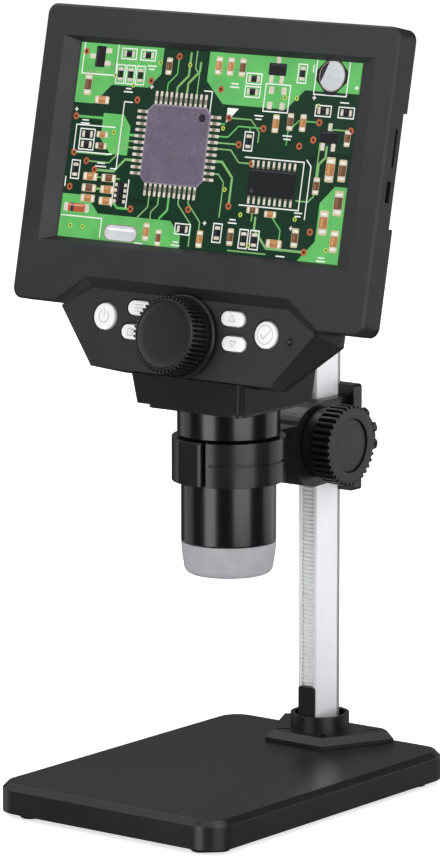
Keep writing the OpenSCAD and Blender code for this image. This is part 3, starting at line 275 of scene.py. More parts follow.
def addRelief(tree, surface, height, strength, depth, normal=None):
    links = {"Height": height, "Normal": normal} if normal else {"Height": height}
    bump = addNode(tree, "Bump", links, {"Strength": strength, "Distance": depth * mm})
    tree.links.new(bump.outputs["Normal"], surface.inputs["Normal"])


def mouldedPlastic(name, look):
    # spark-eroded satin plastic: cloudy tone, fine pitted skin, lighter rubbed edges
    material, tree, surface, place = newMaterial(name, {
        "Specular IOR Level": look.get("gloss", 0.5), "IOR": 1.5})
    dark, light, rubbed = [paint(code) for code in look["tones"]]
    cloud = addNoise(tree, place, look["cloud"])
    grain = addNoise(tree, place, look["grain"], 2, 0.5)
    soft, edge = edgeMask(tree, look["round"])
    tone = blend(tree, spread(tree, cloud, 0, 1), dark, light)
    tone = blend(tree, spread(tree, grain, 0, 0.22, 0.35, 0.75), tone, rubbed)
    worn = addNode(tree, "Math", {0: edge}, {1: look.get("wear", 0.45)}, operation="MULTIPLY").outputs[0]
    smudge = addNoise(tree, place, 14, 4, 0.6)
    rough, uneven = look["rough"], look.get("uneven", 0.05)
    coat(tree, surface, blend(tree, worn, tone, rubbed), spread(tree, smudge, rough - uneven, rough + uneven))
    addRelief(tree, surface, grain, look.get("pit", 0.22), look["grain"] * 0.12, soft)
    return material


def metalFinish(name, look):
    # drawn, milled or turned metal; long scratches run along the longest part of "run"
    material, tree, surface, place = newMaterial(name, {"Metallic": look.get("metal", 1.0)})
    dark, light = [paint(code) for code in look["tones"]]
    lines = addNoise(tree, stretched(tree, place, look["run"]), look["line"], 3, 0.6)
    stain = addNoise(tree, place, 9, 4)
    soft, _ = edgeMask(tree, look.get("round", 0.15))
    tone = blend(tree, spread(tree, lines, 0, 1), dark, light)
    tone = blend(tree, spread(tree, stain, 0, 0.3), tone, dark)
    coat(tree, surface, tone, spread(tree, lines, look["rough"] - 0.07, look["rough"] + 0.09))
    addRelief(tree, surface, lines, 0.12, look["line"] * 0.08, soft)
    return material


def ringedPlastic(name, look, middle, turn):
    # moulded face with fine turned rings round its own axis
    material, tree, surface, place = newMaterial(name, {"Specular IOR Level": look.get("gloss", 0.5)})
    dark, light = [paint(code) for code in look["tones"]]
    where = {"Location": [v * mm for v in middle], "Rotation": turn}
    local = addNode(tree, "Mapping", {"Vector": place}, where, vector_type="TEXTURE")
    wave = addNode(tree, "TexWave", {"Vector": local.outputs["Vector"]},
                   {"Scale": 1 / (look["pitch"] * mm * 6.2), "Distortion": 0.0, "Detail": 0.0},
                   wave_type="RINGS", rings_direction="Z").outputs["Fac"]
    tone = blend(tree, spread(tree, addNoise(tree, place, 9), 0, 1), dark, light)
    tone = blend(tree, spread(tree, wave, 0, 0.25, 0, 1), tone, light)
    coat(tree, surface, tone, spread(tree, wave, look["rough"] - 0.04, look["rough"] + 0.06, 0, 1))
    soft, _ = edgeMask(tree, 0.2)
    addRelief(tree, surface, wave, 0.10, 0.02, soft)
    return material


def hazyFinish(name, shader, look):
    # smooth stuff, clear or dark, with a breath of haze
    material, tree, surface, place = newMaterial(name, shader)
    haze = addNoise(tree, place, look["blotch"], look["detail"])
    first, second = [paint(code) for code in look["tones"]]
    coat(tree, surface, blend(tree, haze, first, second), spread(tree, haze, *look["rough"]))
    return material


frontPlastic = mouldedPlastic("front plastic", {
    "tones": ("151618", "1b1c1f", "37383c"),
    "grain": 0.42, "rough": 0.44, "gloss": 0.42, "cloud": 46, "round": 0.4, "wear": 0.55})
rearPlastic = mouldedPlastic("rear plastic", {
    "tones": ("0a0b0c", "101112", "2b2c2f"),
    "grain": 0.42, "rough": 0.36, "gloss": 0.45, "cloud": 42, "round": 0.4})
basePlastic = mouldedPlastic("base plastic", {
    "tones": ("131415", "191a1b", "303133"),
    "grain": 0.5, "rough": 0.31, "cloud": 55, "round": 0.5, "pit": 0.14, "uneven": 0.015})
carriagePlastic = mouldedPlastic("carriage plastic", {
    "tones": ("0c0d0e", "111213", "2c2d2f"),
    "grain": 0.34, "rough": 0.27, "cloud": 24, "round": 0.3, "pit": 0.1})
knobPlastic = mouldedPlastic("knob plastic", {
    "tones": ("0c0d0e", "111213", "38393c"),
    "grain": 0.25, "rough": 0.33, "cloud": 16, "round": 0.18, "wear": 0.7})
# painted shade: a near-black for the grip's wall between a knob's ribs, where shade falls
paintedGrooveShade = mouldedPlastic("painted groove shade", {
    "tones": ("040405", "070708", "101011"),
    "grain": 0.25, "rough": 0.6, "gloss": 0.18, "cloud": 12, "round": 0.1, "wear": 0.1})
trimPlastic = mouldedPlastic("trim plastic", {
    "tones": ("0d0e0f", "131415", "2a2b2e"), "grain": 0.3, "rough": 0.34, "cloud": 18, "round": 0.25})
buttonPlastic = mouldedPlastic("button plastic", {
    "tones": ("d2d2d3", "dadadb", "ececec"),
    "grain": 0.3, "rough": 0.34, "cloud": 7, "round": 0.2, "wear": 0.2, "pit": 0.08})
nylon = mouldedPlastic("nylon", {
    "tones": ("d9d6ca", "e6e4da", "f1efe8"), "grain": 0.3, "rough": 0.5, "cloud": 5, "round": 0.15})
footRubber = mouldedPlastic("foot rubber", {
    "tones": ("0a0a0b", "111112", "1e1e1f"),
    "grain": 0.5, "rough": 0.8, "gloss": 0.3, "cloud": 6, "round": 0.3, "pit": 0.4})
iconInk = mouldedPlastic("icon ink", {
    "tones": ("96989b", "a6a8ab", "c6c7c9"),
    "grain": 0.2, "rough": 0.4, "cloud": 3, "round": 0.03, "wear": 0.2, "pit": 0.05})
poleMetal = metalFinish("pole metal", {
    "tones": ("dcdde1", "e9eaee"),
    "run": (1, 1, 0.02), "line": 0.5, "rough": 0.36, "round": 0.25, "metal": 0.12})
rackMetal = metalFinish("rack metal", {
    "tones": ("dfe1e1", "f3f5f4"),
    "run": (0.08, 1, 1), "line": 0.3, "rough": 0.4, "round": 0.12, "metal": 0.12})
screwMetal = metalFinish("screw metal", {
    "tones": ("8a8c90", "bcbec2"), "run": (1, 1, 1), "line": 0.3, "rough": 0.34, "round": 0.1})
darkScrew = metalFinish("dark screw", {
    "tones": ("2b2c2f", "4a4b4f"), "run": (1, 1, 1), "line": 0.3, "rough": 0.38, "round": 0.1})
sheetMetal = metalFinish("sheet metal", {
    "tones": ("a0a2a6", "c5c7ca"), "run": (0.1, 1, 1), "line": 0.4, "rough": 0.35, "round": 0.1})
castZinc = metalFinish("cast zinc", {
    "tones": ("77797d", "94969a"), "run": (1, 1, 1), "line": 0.7, "rough": 0.5, "round": 0.3})
weightSteel = metalFinish("weight steel", {
    "tones": ("77797c", "a0a2a5"), "run": (1, 0.06, 1), "line": 0.8, "rough": 0.42, "round": 0.2})
brass = metalFinish("brass", {
    "tones": ("9b7a38", "c9a65c"), "run": (1, 0.1, 1), "line": 0.25, "rough": 0.3, "round": 0.1})
cellFoil = metalFinish("cell foil", {
    "tones": ("8f979f", "b4bbc2"), "run": (1, 1, 0.3), "line": 2.2, "rough": 0.33, "metal": 0.6})
lensGlass = hazyFinish("lens coating", {
    "Transmission Weight": 0.9, "IOR": 1.6,
    "Coat Weight": 1.0, "Coat Roughness": 0.03, "Coat Tint": (0.45, 0.6, 1.0, 1.0)},
    {"blotch": 3, "detail": 2, "tones": ("c8dbe8", "a9c3e2"), "rough": (0.02, 0.06)})
lampPlastic = hazyFinish("lamp lens", {"Transmission Weight": 0.35, "IOR": 1.5},
                         {"blotch": 0.5, "detail": 2, "tones": ("15191b", "2b3134"), "rough": (0.1, 0.25)})
screenGlass = hazyFinish("panel glass", {"Specular IOR Level": 0.5},
                         {"blotch": 5, "detail": 3, "tones": ("0b0c0e", "16181b"), "rough": (0.12, 0.2)})


def glossBlack():
    # polished black tube: deep colour, faint dust and hairlines in the sheen
    material, tree, surface, place = newMaterial("gloss black", {
        "Specular IOR Level": 0.55, "IOR": 1.52, "Coat Weight": 0.3, "Coat Roughness": 0.14})
    hair = addNoise(tree, stretched(tree, place, (1, 1, 0.12)), 0.5)
    dust = spread(tree, addNoise(tree, place, 0.9, 5, 0.7), 0, 0.35, 0.62, 0.8)
    coat(tree, surface, blend(tree, dust, paint("060708"), paint("121315")), spread(tree, hair, 0.21, 0.27))
    addRelief(tree, surface, hair, 0.02, 0.01)
    return material


def boardMask():
    # green board: mask over copper runs, tinned pads
    material, tree, surface, place = newMaterial("board mask", {
        "Specular IOR Level": 0.6, "Coat Weight": 0.4, "Coat Roughness": 0.15})
    flat = stretched(tree, place, (1, 1, 1), (math.radians(90), 0, 0))
    runs = addNode(tree, "TexBrick", {"Vector": flat}, {
        "Scale": 320.0, "Mortar Size": 0.12, "Brick Width": 1.6, "Row Height": 0.5,
        "Color1": paint("1c5a33"), "Color2": paint("23683c"), "Mortar": paint("2f7d49")}).outputs["Color"]
    pads = addCells(tree, place, 380.0, 0.7)
    tone = blend(tree, spread(tree, pads, 1, 0, 0.16, 0.2), runs, paint("c9c6ae"))
    coat(tree, surface, tone, spread(tree, pads, 0.25, 0.45, 0.1, 0.3))
    addRelief(tree, surface, pads, 0.15, 0.05)
    return material


def whiteBoard():
    material, tree, surface, place = newMaterial("white board", {"Specular IOR Level": 0.5, "Roughness": 0.4})
    spots = addCells(tree, place, 420.0, 0.8)
    coat(tree, surface, blend(tree, spread(tree, spots, 1, 0, 0.1, 0.14), paint("e4e5df"), paint("b9a35a")))
    addRelief(tree, surface, spots, 0.12, 0.04)
    return material


def frostedShade():
    # sand-frosted light guide, milky with a cool tint
    material, tree, surface, place = newMaterial("frosted shade", {
        "Subsurface Weight": 0.4, "Subsurface Radius": (0.004, 0.0042, 0.0045), "Subsurface Scale": 1.0,
        "Transmission Weight": 0.18, "IOR": 1.49, "Specular IOR Level": 0.45})
    frost = addNoise(tree, place, 0.25, 3, 0.6)
    haze = spread(tree, addNoise(tree, place, 6), 0, 1)
    coat(tree, surface, blend(tree, haze, paint("999ba0"), paint("a5a7ac")), spread(tree, frost, 0.36, 0.5))
    addRelief(tree, surface, frost, 0.2, 0.03)
    return material


def ledCell():
    material, tree, surface, place = newMaterial("led cell", {
        "Emission Color": paint("fff6df"), "Emission Strength": 0.6, "Roughness": 0.35})
    grain = addNoise(tree, place, 0.3)
    coat(tree, surface, blend(tree, spread(tree, grain, 0, 1), paint("e8d88a"), paint("f4efc9")))
    addRelief(tree, surface, grain, 0.1, 0.03)
    return material


def paintRearEdgeReflection(material, low, high, tone):
    # painted dark reflection: a soft grey line down the pole's flat side, standing for its rounded rear edge
    # turning away and mirroring the dark
    tree = material.node_tree
    surface = tree.nodes["Principled BSDF"]
    place = tree.nodes.new("ShaderNodeTexCoord").outputs["Object"]
    back = addNode(tree, "SeparateXYZ", {"Vector": place}).outputs["Y"]
    strip = spread(tree, back, 0, 1, low * mm, high * mm)
    coat(tree, surface, blend(tree, strip, surface.inputs["Base Color"].links[0].from_socket, tone))


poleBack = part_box("pole")[1].y / mm
# painted dark reflection along the pole's rear edge
paintRearEdgeReflection(poleMetal, poleBack - 3.1, poleBack - 2.8, paint("8a8a90"))
glossTube = glossBlack()
greenBoard = boardMask()
ledBoard = whiteBoard()
shadePlastic = frostedShade()
ledPhosphor = ledCell()

finishes = {
    frontPlastic: ["front_bezel", "control_housing"],
    rearPlastic: ["rear_cover", "neck_front", "neck_body"],
    basePlastic: ["base_plate"],
    carriagePlastic: ["carriage_block", "carriage_back"],
    trimPlastic: ["pole_flange", "rack_stop", "pole_cap", "neck_plate", "lens_carrier"],
    footRubber: ["base_feet"],
    nylon: ["slide_pads"],
    poleMetal: ["pole"],
    rackMetal: ["rack", "pinion_shaft", "focus_shaft", "lock_screw"],
    screwMetal: ["weight_screws", "flange_screws", "pole_bolt", "carriage_screws"],
    darkScrew: ["cover_screws", "neck_screws"],
    sheetMetal: ["backlight", "usb_socket", "card_socket", "key_switches"],
    castZinc: ["focus_bracket"],
    weightSteel: ["base_weight"],
    brass: ["shaft_bushes"],
    cellFoil: ["battery"],
    greenBoard: ["main_board", "port_board", "keypad_board", "sensor_board"],
    ledBoard: ["led_board"],
    lampPlastic: ["indicator_lamp"],
    screenGlass: ["lcd_panel"],
}
for material, names in finishes.items():
    for name in names:
        nodes[name].data.materials.clear()
        nodes[name].data.materials.append(material)
print("materials on the carried-over nodes: done")


def growTree(name, inputs, kinds, links):
    # a Geometry Nodes tree; each link reads "node.socket > node.socket"
    tree = bpy.data.node_groups.new(name, "GeometryNodeTree")
    tree.interface.new_socket("Geometry", in_out="OUTPUT", socket_type="NodeSocketGeometry")
    for label, kind in inputs.items():
        tree.interface.new_socket(label, in_out="INPUT", socket_type="NodeSocket" + kind)
    made = {key: tree.nodes.new(kind) for key, kind in kinds.items()}
    for link in links:
        (start, leaving), (end, entering) = [part.split(".") for part in link.split(" > ")]
        tree.links.new(made[start].outputs[int(leaving) if leaving.isdigit() else leaving],
                       made[end].inputs[int(entering) if entering.isdigit() else entering])
    return tree, made


def roundTree():
    # copies of one shape round a circle, each turned to face outwards
    tree, made = growTree("repeat round", {
        "Shape": "Object", "Count": "Int", "Radius": "Float", "Start angle": "Float", "Finish": "Material"}, {
        "given": "NodeGroupInput", "circle": "GeometryNodeMeshCircle", "shape": "GeometryNodeObjectInfo",
        "place": "GeometryNodeInstanceOnPoints", "index": "GeometryNodeInputIndex", "step": "ShaderNodeMath",
        "turn": "ShaderNodeMath", "spin": "ShaderNodeCombineXYZ", "whole": "GeometryNodeTransform",
        "startTurn": "ShaderNodeCombineXYZ", "solid": "GeometryNodeRealizeInstances",
        "finish": "GeometryNodeSetMaterial", "out": "NodeGroupOutput"}, [
        "given.Count > circle.Vertices", "given.Radius > circle.Radius", "given.Shape > shape.Object",
        "given.Count > step.1", "index.Index > turn.0", "step.0 > turn.1", "turn.0 > spin.Z",
        "circle.Mesh > place.Points", "shape.Geometry > place.Instance", "spin.0 > place.Rotation",
        "given.Start angle > startTurn.Z", "place.Instances > whole.Geometry", "startTurn.0 > whole.Rotation",
        "whole.Geometry > solid.Geometry", "solid.Geometry > finish.Geometry",
        "given.Finish > finish.Material", "finish.Geometry > out.Geometry"])
    made["step"].operation, made["turn"].operation = "DIVIDE", "MULTIPLY"
    made["step"].inputs[0].default_value = 2 * math.pi
    return tree


repeatRound = roundTree()
repeatOnPoints, _ = growTree("repeat on points", {
    "Shape": "Object", "Places": "Object", "Finish": "Material"}, {
    "given": "NodeGroupInput", "shape": "GeometryNodeObjectInfo", "spots": "GeometryNodeObjectInfo",
    "place": "GeometryNodeInstanceOnPoints", "solid": "GeometryNodeRealizeInstances",
    "finish": "GeometryNodeSetMaterial", "out": "NodeGroupOutput"}, [
    "given.Shape > shape.Object", "given.Places > spots.Object", "spots.Geometry > place.Points",
    "shape.Geometry > place.Instance", "place.Instances > solid.Geometry", "solid.Geometry > finish.Geometry",
    "given.Finish > finish.Material", "finish.Geometry > out.Geometry"])


def grow(name, tree, values, place, helpers):
    # runs a tree with its inputs set by identifier, keeps a plain mesh and puts it in its place
    host = addObject(name, bpy.data.meshes.new(name + " host"))
    modifier = host.modifiers.new("grow", "NODES")
    modifier.node_group = tree
    for item in tree.interface.items_tree:
        if item.in_out == "INPUT":
            modifier[item.identifier] = values[item.name]
    graph = bpy.context.evaluated_depsgraph_get()
    mesh = bpy.data.meshes.new_from_object(host.evaluated_get(graph), depsgraph=graph)
    host.modifiers.remove(modifier)
    host.data = mesh
    mesh.name = name
    for helper in helpers:
        bpy.data.objects.remove(helper)
    for vertex in mesh.vertices:
        vertex.co = place(tuple(vertex.co / mm))
    return host


def aroundAxis(name, shape, count, radius, finish, place, start=0.0):
    source = rawShape(name + " shape", *shape)
    piece = grow(name, repeatRound, {"Shape": source, "Count": count, "Radius": radius * mm,
                                     "Start angle": start, "Finish": finish}, place, [source])
    tidyMesh(piece.data)
    return piece


def onSpots(name, source, spots, finish, place):
    marks = rawShape(name + " marks", spots, [])
    values = {"Shape": source, "Places": marks, "Finish": finish}
    return grow(name, repeatOnPoints, values, place, [source, marks])


def ribShape(width, height, low, high, sink=0.35, nose=0.8, waist=0.0, blunt=False):
    # a rib along z, its foot sunk below x = 0, its ends rounded off; a blunt one is square at its far end
    stations = [(low, 0.15), (low + nose * 0.25, 0.62), (low + nose * 0.6, 0.9), (low + nose, 1.0)]
    stations += [(high - 0.12, 1.0), (high, 0.9)] if blunt else [
        (high - nose, 1.0), (high - nose * 0.6, 0.9), (high - nose * 0.25, 0.62), (high, 0.15)]
    section = [(-1, 0.0), (-0.93, 0.62), (-0.66, 0.93), (0, 1.0), (0.66, 0.93), (0.93, 0.62), (1, 0.0)]
    rings = []
    for z, swell in stations:
        thinner = waist * (z - low) / (high - low)
        crown = [(out * height * swell - thinner, side * width / 2, z) for side, out in section]
        rings.append([(-sink, -width / 2, z)] + crown + [(-sink, width / 2, z)])
    return skinned(rings)


def paintGrooveShade(body, place, low, high):
    # painted shade: the grip's wall between the ribs gets a near-black material that stands for the shade
    # falling there
    start = place((0, 0, 0))
    along = (place((0, 0, 1)) - start).normalized()
    body.data.materials.append(paintedGrooveShade)
    for polygon in body.data.polygons:
        if low * mm < (polygon.center - start).dot(along) < high * mm:
            polygon.material_index = len(body.data.materials) - 1


focusLook = {"flange": 14.6, "root": 12.6, "ribs": 48, "ribWidth": 0.86, "ribHeight": 0.88, "reach": 9.0,
             "taper": 0.3, "dishFoot": 8.06, "dishMiddle": 8.34}
focusDish = {"pitch": 0.5, "tones": ("0c0d0e", "121314"), "rough": 0.4, "gloss": 0.4}


def makeFocusKnob(look):
    flange, root, reach, taper = [look[key] for key in ("flange", "root", "reach", "taper")]
    body = spun("focusGrip", rounded([
        (shaftHole, -2.2, 0), (13.1, -2.2, 0.3), (flange, -1.35, 0.35), (flange, -0.62, 0.12),
        (flange - 0.18, -0.5, 0.05), (flange - 0.18, -0.38, 0.05), (flange - 0.02, -0.28, 0.12),
        (flange - 0.6, 0.18, 0.25), (root + 0.35, 0.3, 0.2), (root, 0.8, 0.3),
        (root - taper, reach - 0.5, 0.1), (root - taper - 0.25, reach, 0.2),
        (root - 0.95, reach - 0.02, 0.1), (root - 1.0, reach - 0.95, 0.1),
        (shaftHole, reach - 0.95, 0)]), onFocus)
    body.data.materials.append(knobPlastic)
    # painted shade on the grip's wall between the ribs
    paintGrooveShade(body, onFocus, 0.1, reach - 0.6)
    rib = ribShape(look["ribWidth"], look["ribHeight"], 0.75, reach - 0.28, waist=taper, blunt=True)
    ribs = aroundAxis("focusRibs", rib, look["ribs"], root, knobPlastic, onFocus)
    rim, foot, middle = root - 1.06, look["dishFoot"], look["dishMiddle"]
    hollow = [(rim * k / 8, middle + 0.4 * (k / 8) ** 2, 0) for k in range(7, 0, -1)]
    dish = spun("focusDish", rounded([
        (0.001, foot, 0), (rim, foot, 0.05), (rim, 8.72, 0.12), (rim - 0.2, 8.9, 0.1),
        (rim - 0.6, 8.84, 0.15)]
        + hollow + [(0.001, middle, 0)]), onFocus)
    upright = (math.radians(90) - screenLean, 0, 0)
    dishFinish = ringedPlastic("focus dish", focusDish, tuple(onFocus((0, 0, 0)) / mm), upright)
    fit(body, "focus_wheel", "focus_knob")
    fit(ribs, "focus_wheel")
    fit(dish, "focus_wheel", "focus_disc", dishFinish)


makeFocusKnob(focusLook)
print("fine focus knob: done")

coarseLook = {"root": 13.25, "tip": 14.3, "ribs": 36, "ribWidth": 1.3, "disc": 9.2, "length": 12.8}
coarseFace = {"pitch": 0.6, "tones": ("202123", "27282b"), "rough": 0.42}


def makeCoarseKnob(side, word, look, faceNode=None):
    place, root, disc, length = onCoarse(side), look["root"], look["disc"], look["length"]
    body = spun("coarseGrip" + word, rounded([
        (shaftHole, 0, 0), (12.2, 0, 0.3), (12.6, 0.4, 0.3), (12.6, 4.4, 0.3), (root, 4.9, 0.3),
        (root, length, 0.1), (disc + 0.5, length, 0.12), (disc + 0.36, length - 0.15, 0.08),
        (disc + 0.34, length - 1.15, 0.05),
        (shaftHole, length - 1.15, 0)]), place)
    body.data.materials.append(knobPlastic)
    # painted shade on the grip's wall between the ribs
    paintGrooveShade(body, place, 4.9, length - 0.3)
    rib = ribShape(look["ribWidth"], look["tip"] - root - 0.02, 5.2, length - 0.01, nose=0.9, blunt=True)
    ribs = aroundAxis("coarseRibs" + word, rib, look["ribs"], root, knobPlastic, place)
    face = spun("coarseFace" + word, rounded([
        (0.001, length - 1.13, 0), (disc + 0.3, length - 1.13, 0.04), (disc + 0.3, length - 0.92, 0.06),
        (disc + 0.1, length - 0.78, 0.08), (disc - 1.6, length - 0.74, 0), (0.001, length - 0.7, 0)]), place)
    sideways = (0, math.radians(90), 0)
    faceFinish = ringedPlastic("coarse face " + word, coarseFace, (0, *coarseAxis), sideways)
    for piece in (body, ribs):
        # the flat end of the grip has the disc's duller finish
        piece.data.materials.append(faceFinish)
        for polygon in piece.data.polygons:
            if polygon.normal.x * side > 0.8 and polygon.center.x * side > (coarseStart + length - 0.25) * mm:
                polygon.material_index = len(piece.data.materials) - 1
    fit(body, "coarse_knobs", "coarse_knob_" + word.lower())
    fit(ribs, "coarse_knobs")
    fit(face, "coarse_knobs", faceNode, faceFinish)


makeCoarseKnob(1, "Right", coarseLook, "coarse_knob_discs")
makeCoarseKnob(-1, "Left", coarseLook)
print("coarse focus knobs: done")

lockLook = {"tip": 11.6, "root": 10.0, "lobes": 10, "length": 8.0, "lobeWidth": 3.4, "start": 0.46}


def makeLockKnob(look):
    root, length = look["root"], look["length"]
    body = spun("lockGrip", rounded([
        (shaftHole, 0, 0), (5.5, 0, 0.2), (5.5, 1.6, 0.15), (9.2, 1.6, 0.3), (root, 2.4, 0.3),
        (root, length - 1.0, 0.6), (root - 1.0, length, 0.5), (root - 2.8, length, 0.3),
        (root - 3.1, length - 0.6, 0.2), (0.001, length - 0.6, 0), (0.001, length - 1.0, 0),
        (shaftHole, length - 1.0, 0)]), onLock)
    lobe = ribShape(look["lobeWidth"], look["tip"] - root - 0.02, 2.45, length - 0.75, sink=0.9, nose=1.0)
    lobes = aroundAxis("lockLobes", lobe, look["lobes"], root, knobPlastic, onLock,
                       start=look["start"] * 2 * math.pi / look["lobes"])
    fit(body, "lock", "lock_knob", knobPlastic)
    fit(lobes, "lock")


makeLockKnob(lockLook)
print("lock knob: done")

tubeLook = {"shoulder": 130.7, "neckFoot": 142.6, "capTop": 93.4, "upper": 18.0, "lower": 16.65,
            "collar": 19.8, "bore": 14.0, "mouth": 14.6, "spigot": 15.63,
            "socket": 15.72, "capBore": 15.0, "steps": 192}


def makeTubes(look):
    low, top, foot = look["shoulder"], look["neckFoot"], look["capTop"]
    wide, slim, bore, collar = look["upper"], look["lower"], look["bore"], look["collar"]
    spigot, socket, capBore, steps = look["spigot"], look["socket"], look["capBore"], look["steps"]
    upper = spun("upperTubeShell", rounded([
        (socket, low, 0), (wide - 0.5, low, 0.15), (wide, low + 0.5, 0.3), (wide, top, 0), (collar, top, 0),
        (collar, top + 2.6, 0.2), (bore, top + 2.6, 0.2), (bore, low + 7, 0), (socket, low + 7, 0)]),
        onTube, steps)
    lower = spun("lowerTubeShell", rounded([
        (capBore, foot, 0), (slim - 0.35, foot, 0.12), (slim, foot + 0.35, 0.2), (slim, low - 0.45, 0.2),
        (slim - 0.35, low - 0.1, 0.12), (spigot, low - 0.1, 0.05), (spigot, low + 6.9, 0.1),
        (bore, low + 6.9, 0), (bore, foot + 5, 0), (capBore, foot + 5, 0)]), onTube, steps)
    fit(upper, "head", "upper_tube", glossTube)
    fit(lower, "head", "lower_tube", glossTube)


def makeShade(look):
    # one thick frosted bowl with a small mouth
    top, outer, mouth, deep = look["capTop"] - 0.05, look["lower"], look["mouth"], 11.3
    line = [(outer, top, 0.1), (outer - 0.25, top - deep * 0.35, 0)]
    for k in range(11):
        a = k * math.pi / 20
        line.append((mouth - 1.3 + 2.4 * math.cos(a), top - deep + 3.1 - 3.1 * math.sin(a), 0))
    foot, window, throat, sleeve = top - deep, 9.6, 14.0, 14.9
    line += [(mouth - 1.75, foot, 0.1), (mouth - 2.0, foot + 0.22, 0.1), (window, foot + 0.22, 0.3),
             (window, foot + 1.7, 0.3), (mouth - 2.9, foot + 1.9, 0.6), (outer - 2.9, foot + 4.4, 0.6),
             (throat, top - deep * 0.3, 0), (throat, top + 3.4, 0.1), (sleeve, top + 3.4, 0.1),
             (sleeve, top, 0)]
    shade = spun("lightShade", rounded(line), onTube, 160, 40)
    fit(shade, "head", "light_cap", shadePlastic)


ledLook = {"count": 8, "circle": 10.3, "height": 96.5}
lensLook = {"foot": 110.4, "rim": 10.85, "bulge": 1.1, "hollow": 0.45, "steps": 96}


def makeLeds(look):
    # white lamp blocks with yellow cells
    for name, size, drop, chamfer, finish, node in (
            ("ledCases", (3.4, 2.8, 0.9), 0, 0.12, ledBoard, "leds"),
            ("ledCells", (2.3, 1.9, 0.1), 0.43, 0.04, ledPhosphor, None)):
        shape = block(size, (0, 0, look["height"] - drop), chamfer)
        fit(aroundAxis(name, shape, look["count"], look["circle"], finish, onTube), "head", node)


def makeLens(look):
    # two glasses in the carrier: the front one bulges towards the specimen
    foot, rim, steps = look["foot"], look["rim"], look["steps"]
    bulge = [(max(rim * k / 10, 0.001), foot + look["bulge"] * (k / 10) ** 2) for k in range(11)]
    hollow = [(max(rim * k / 8, 0.001), foot + 9.5 - look["hollow"] * (k / 8) ** 2) for k in range(9)]
    front = spun("lensFront", bulge + [(rim, foot + 2.95), (0.001, foot + 2.95)], onTube, steps)
    rear = spun("lensRear", hollow + [(rim, foot + 11.3), (0.001, foot + 11.3)], onTube, steps)
    fit(front, "lens", "lens_glass", lensGlass)
    fit(rear, "lens", None, lensGlass)


makeTubes(tubeLook)
makeShade(tubeLook)
makeLeds(ledLook)
makeLens(lensLook)
print("tubes, shade, lamps and lens: done")

# What the screen shows: flat shapes stacked in thin steps behind the bezel's edge.
# Places are millimetres from the screen's middle; the layout is made up.

pictureLook = {"width": 122.0, "height": 69.2, "middle": 57.2, "back": 2.496, "front": 2.489, "step": 0.008,
               "glow": 0.82, "paint": 0.16}
tones = {
    "board": "08301d", "shade": "062416", "pour": "62b963", "track": "7fb56f", "silk": "eef1ee",
    "tin": "d5cdbf", "tinDark": "8d8478", "pad": "cbbd96", "chip": "685f70", "chipRim": "8a8190",
    "dimple": "26222b", "black": "17181c", "blackRim": "3a3c42", "tan": "b27a4b", "tanShine": "cf9a68",
    "brown": "6d4a36", "brownShine": "8a6248", "endShine": "f3eee4", "copper": "b4613d", "hole": "3a2015",
    "ring": "b7c955", "can": "c9ccd0", "canDark": "24262b", "canShine": "f1f2f3", "glass": "b5583a",
    "glassShine": "e2a184", "band": "1d2b45",
}
shapes = []


def facing(outline):
    # the outline turned anticlockwise
    area = sum(a[0] * b[1] - b[0] * a[1] for a, b in zip(outline, outline[1:] + outline[:1]))
    return outline if area > 0 else outline[::-1]


def lay(outline, level, tone, speckle=0.0):
    shapes.append((facing(outline), level, tone, speckle))


def turned(points, u, v, turn):
    c, s = math.cos(math.radians(turn)), math.sin(math.radians(turn))
    return [(u + x * c - y * s, v + x * s + y * c) for x, y in points]


def bar(w, h, cut=0.0, u=0.0, v=0.0):
    x, y = w / 2, h / 2
    if cut <= 0:
        return [(u - x, v - y), (u + x, v - y), (u + x, v + y), (u - x, v + y)]
    return [(u - x + cut, v - y), (u + x - cut, v - y), (u + x, v - y + cut), (u + x, v + y - cut),
            (u + x - cut, v + y), (u - x + cut, v + y), (u - x, v + y - cut), (u - x, v - y + cut)]


def onArc(r, degrees, u=0.0, v=0.0):
    return [(u + r * math.cos(math.radians(d)), v + r * math.sin(math.radians(d))) for d in degrees]


def spot(r, count=14, u=0.0, v=0.0):
    return onArc(r, [360 * k / count for k in range(count)], u, v)


def strips(points, width, over=0.0):
    # straight bars from point to point, each longer by over
    out = []
    for (ax, ay), (bx, by) in zip(points, points[1:]):
        across, up = bx - ax, by - ay
        straight = bar(math.hypot(across, up) + over, width)
        out.append(turned(straight, (ax + bx) / 2, (ay + by) / 2, math.degrees(math.atan2(up, across))))
    return out


def layTrack(points, width, tone, level=2):
    for outline in strips(points, width) + [spot(width / 2, 8, x, y) for x, y in points]:
        lay(outline, level, tone)


def laySilkBox(u, v, turn, w, h, gaps=()):
    line = 0.42
    sides = ((0, h / 2, w + line, line), (0, -h / 2, w + line, line),
             (w / 2, 0, line, h), (-w / 2, 0, line, h))
    for k, (x, y, wide, high) in enumerate(sides):
        if k not in gaps:
            lay(turned(bar(wide, high, 0, x, y), u, v, turn), 3, "silk")


def capacitor(body, shine):
    return [(6.3, 2.7, 0.3, 0, 0, 3, "pad", 0.2), (5.4, 2.4, 0.25, 0, 0, 4, "tin", 0.35),
            (3.0, 2.45, 0, 0, 0, 5, body, 0.5), (2.3, 0.7, 0, 0, 0.45, 6, shine, 0.3),
            (0.5, 1.5, 0.1, -2.2, 0, 6, "endShine", 0), (0.5, 1.5, 0.1, 2.2, 0, 6, "endShine", 0)]


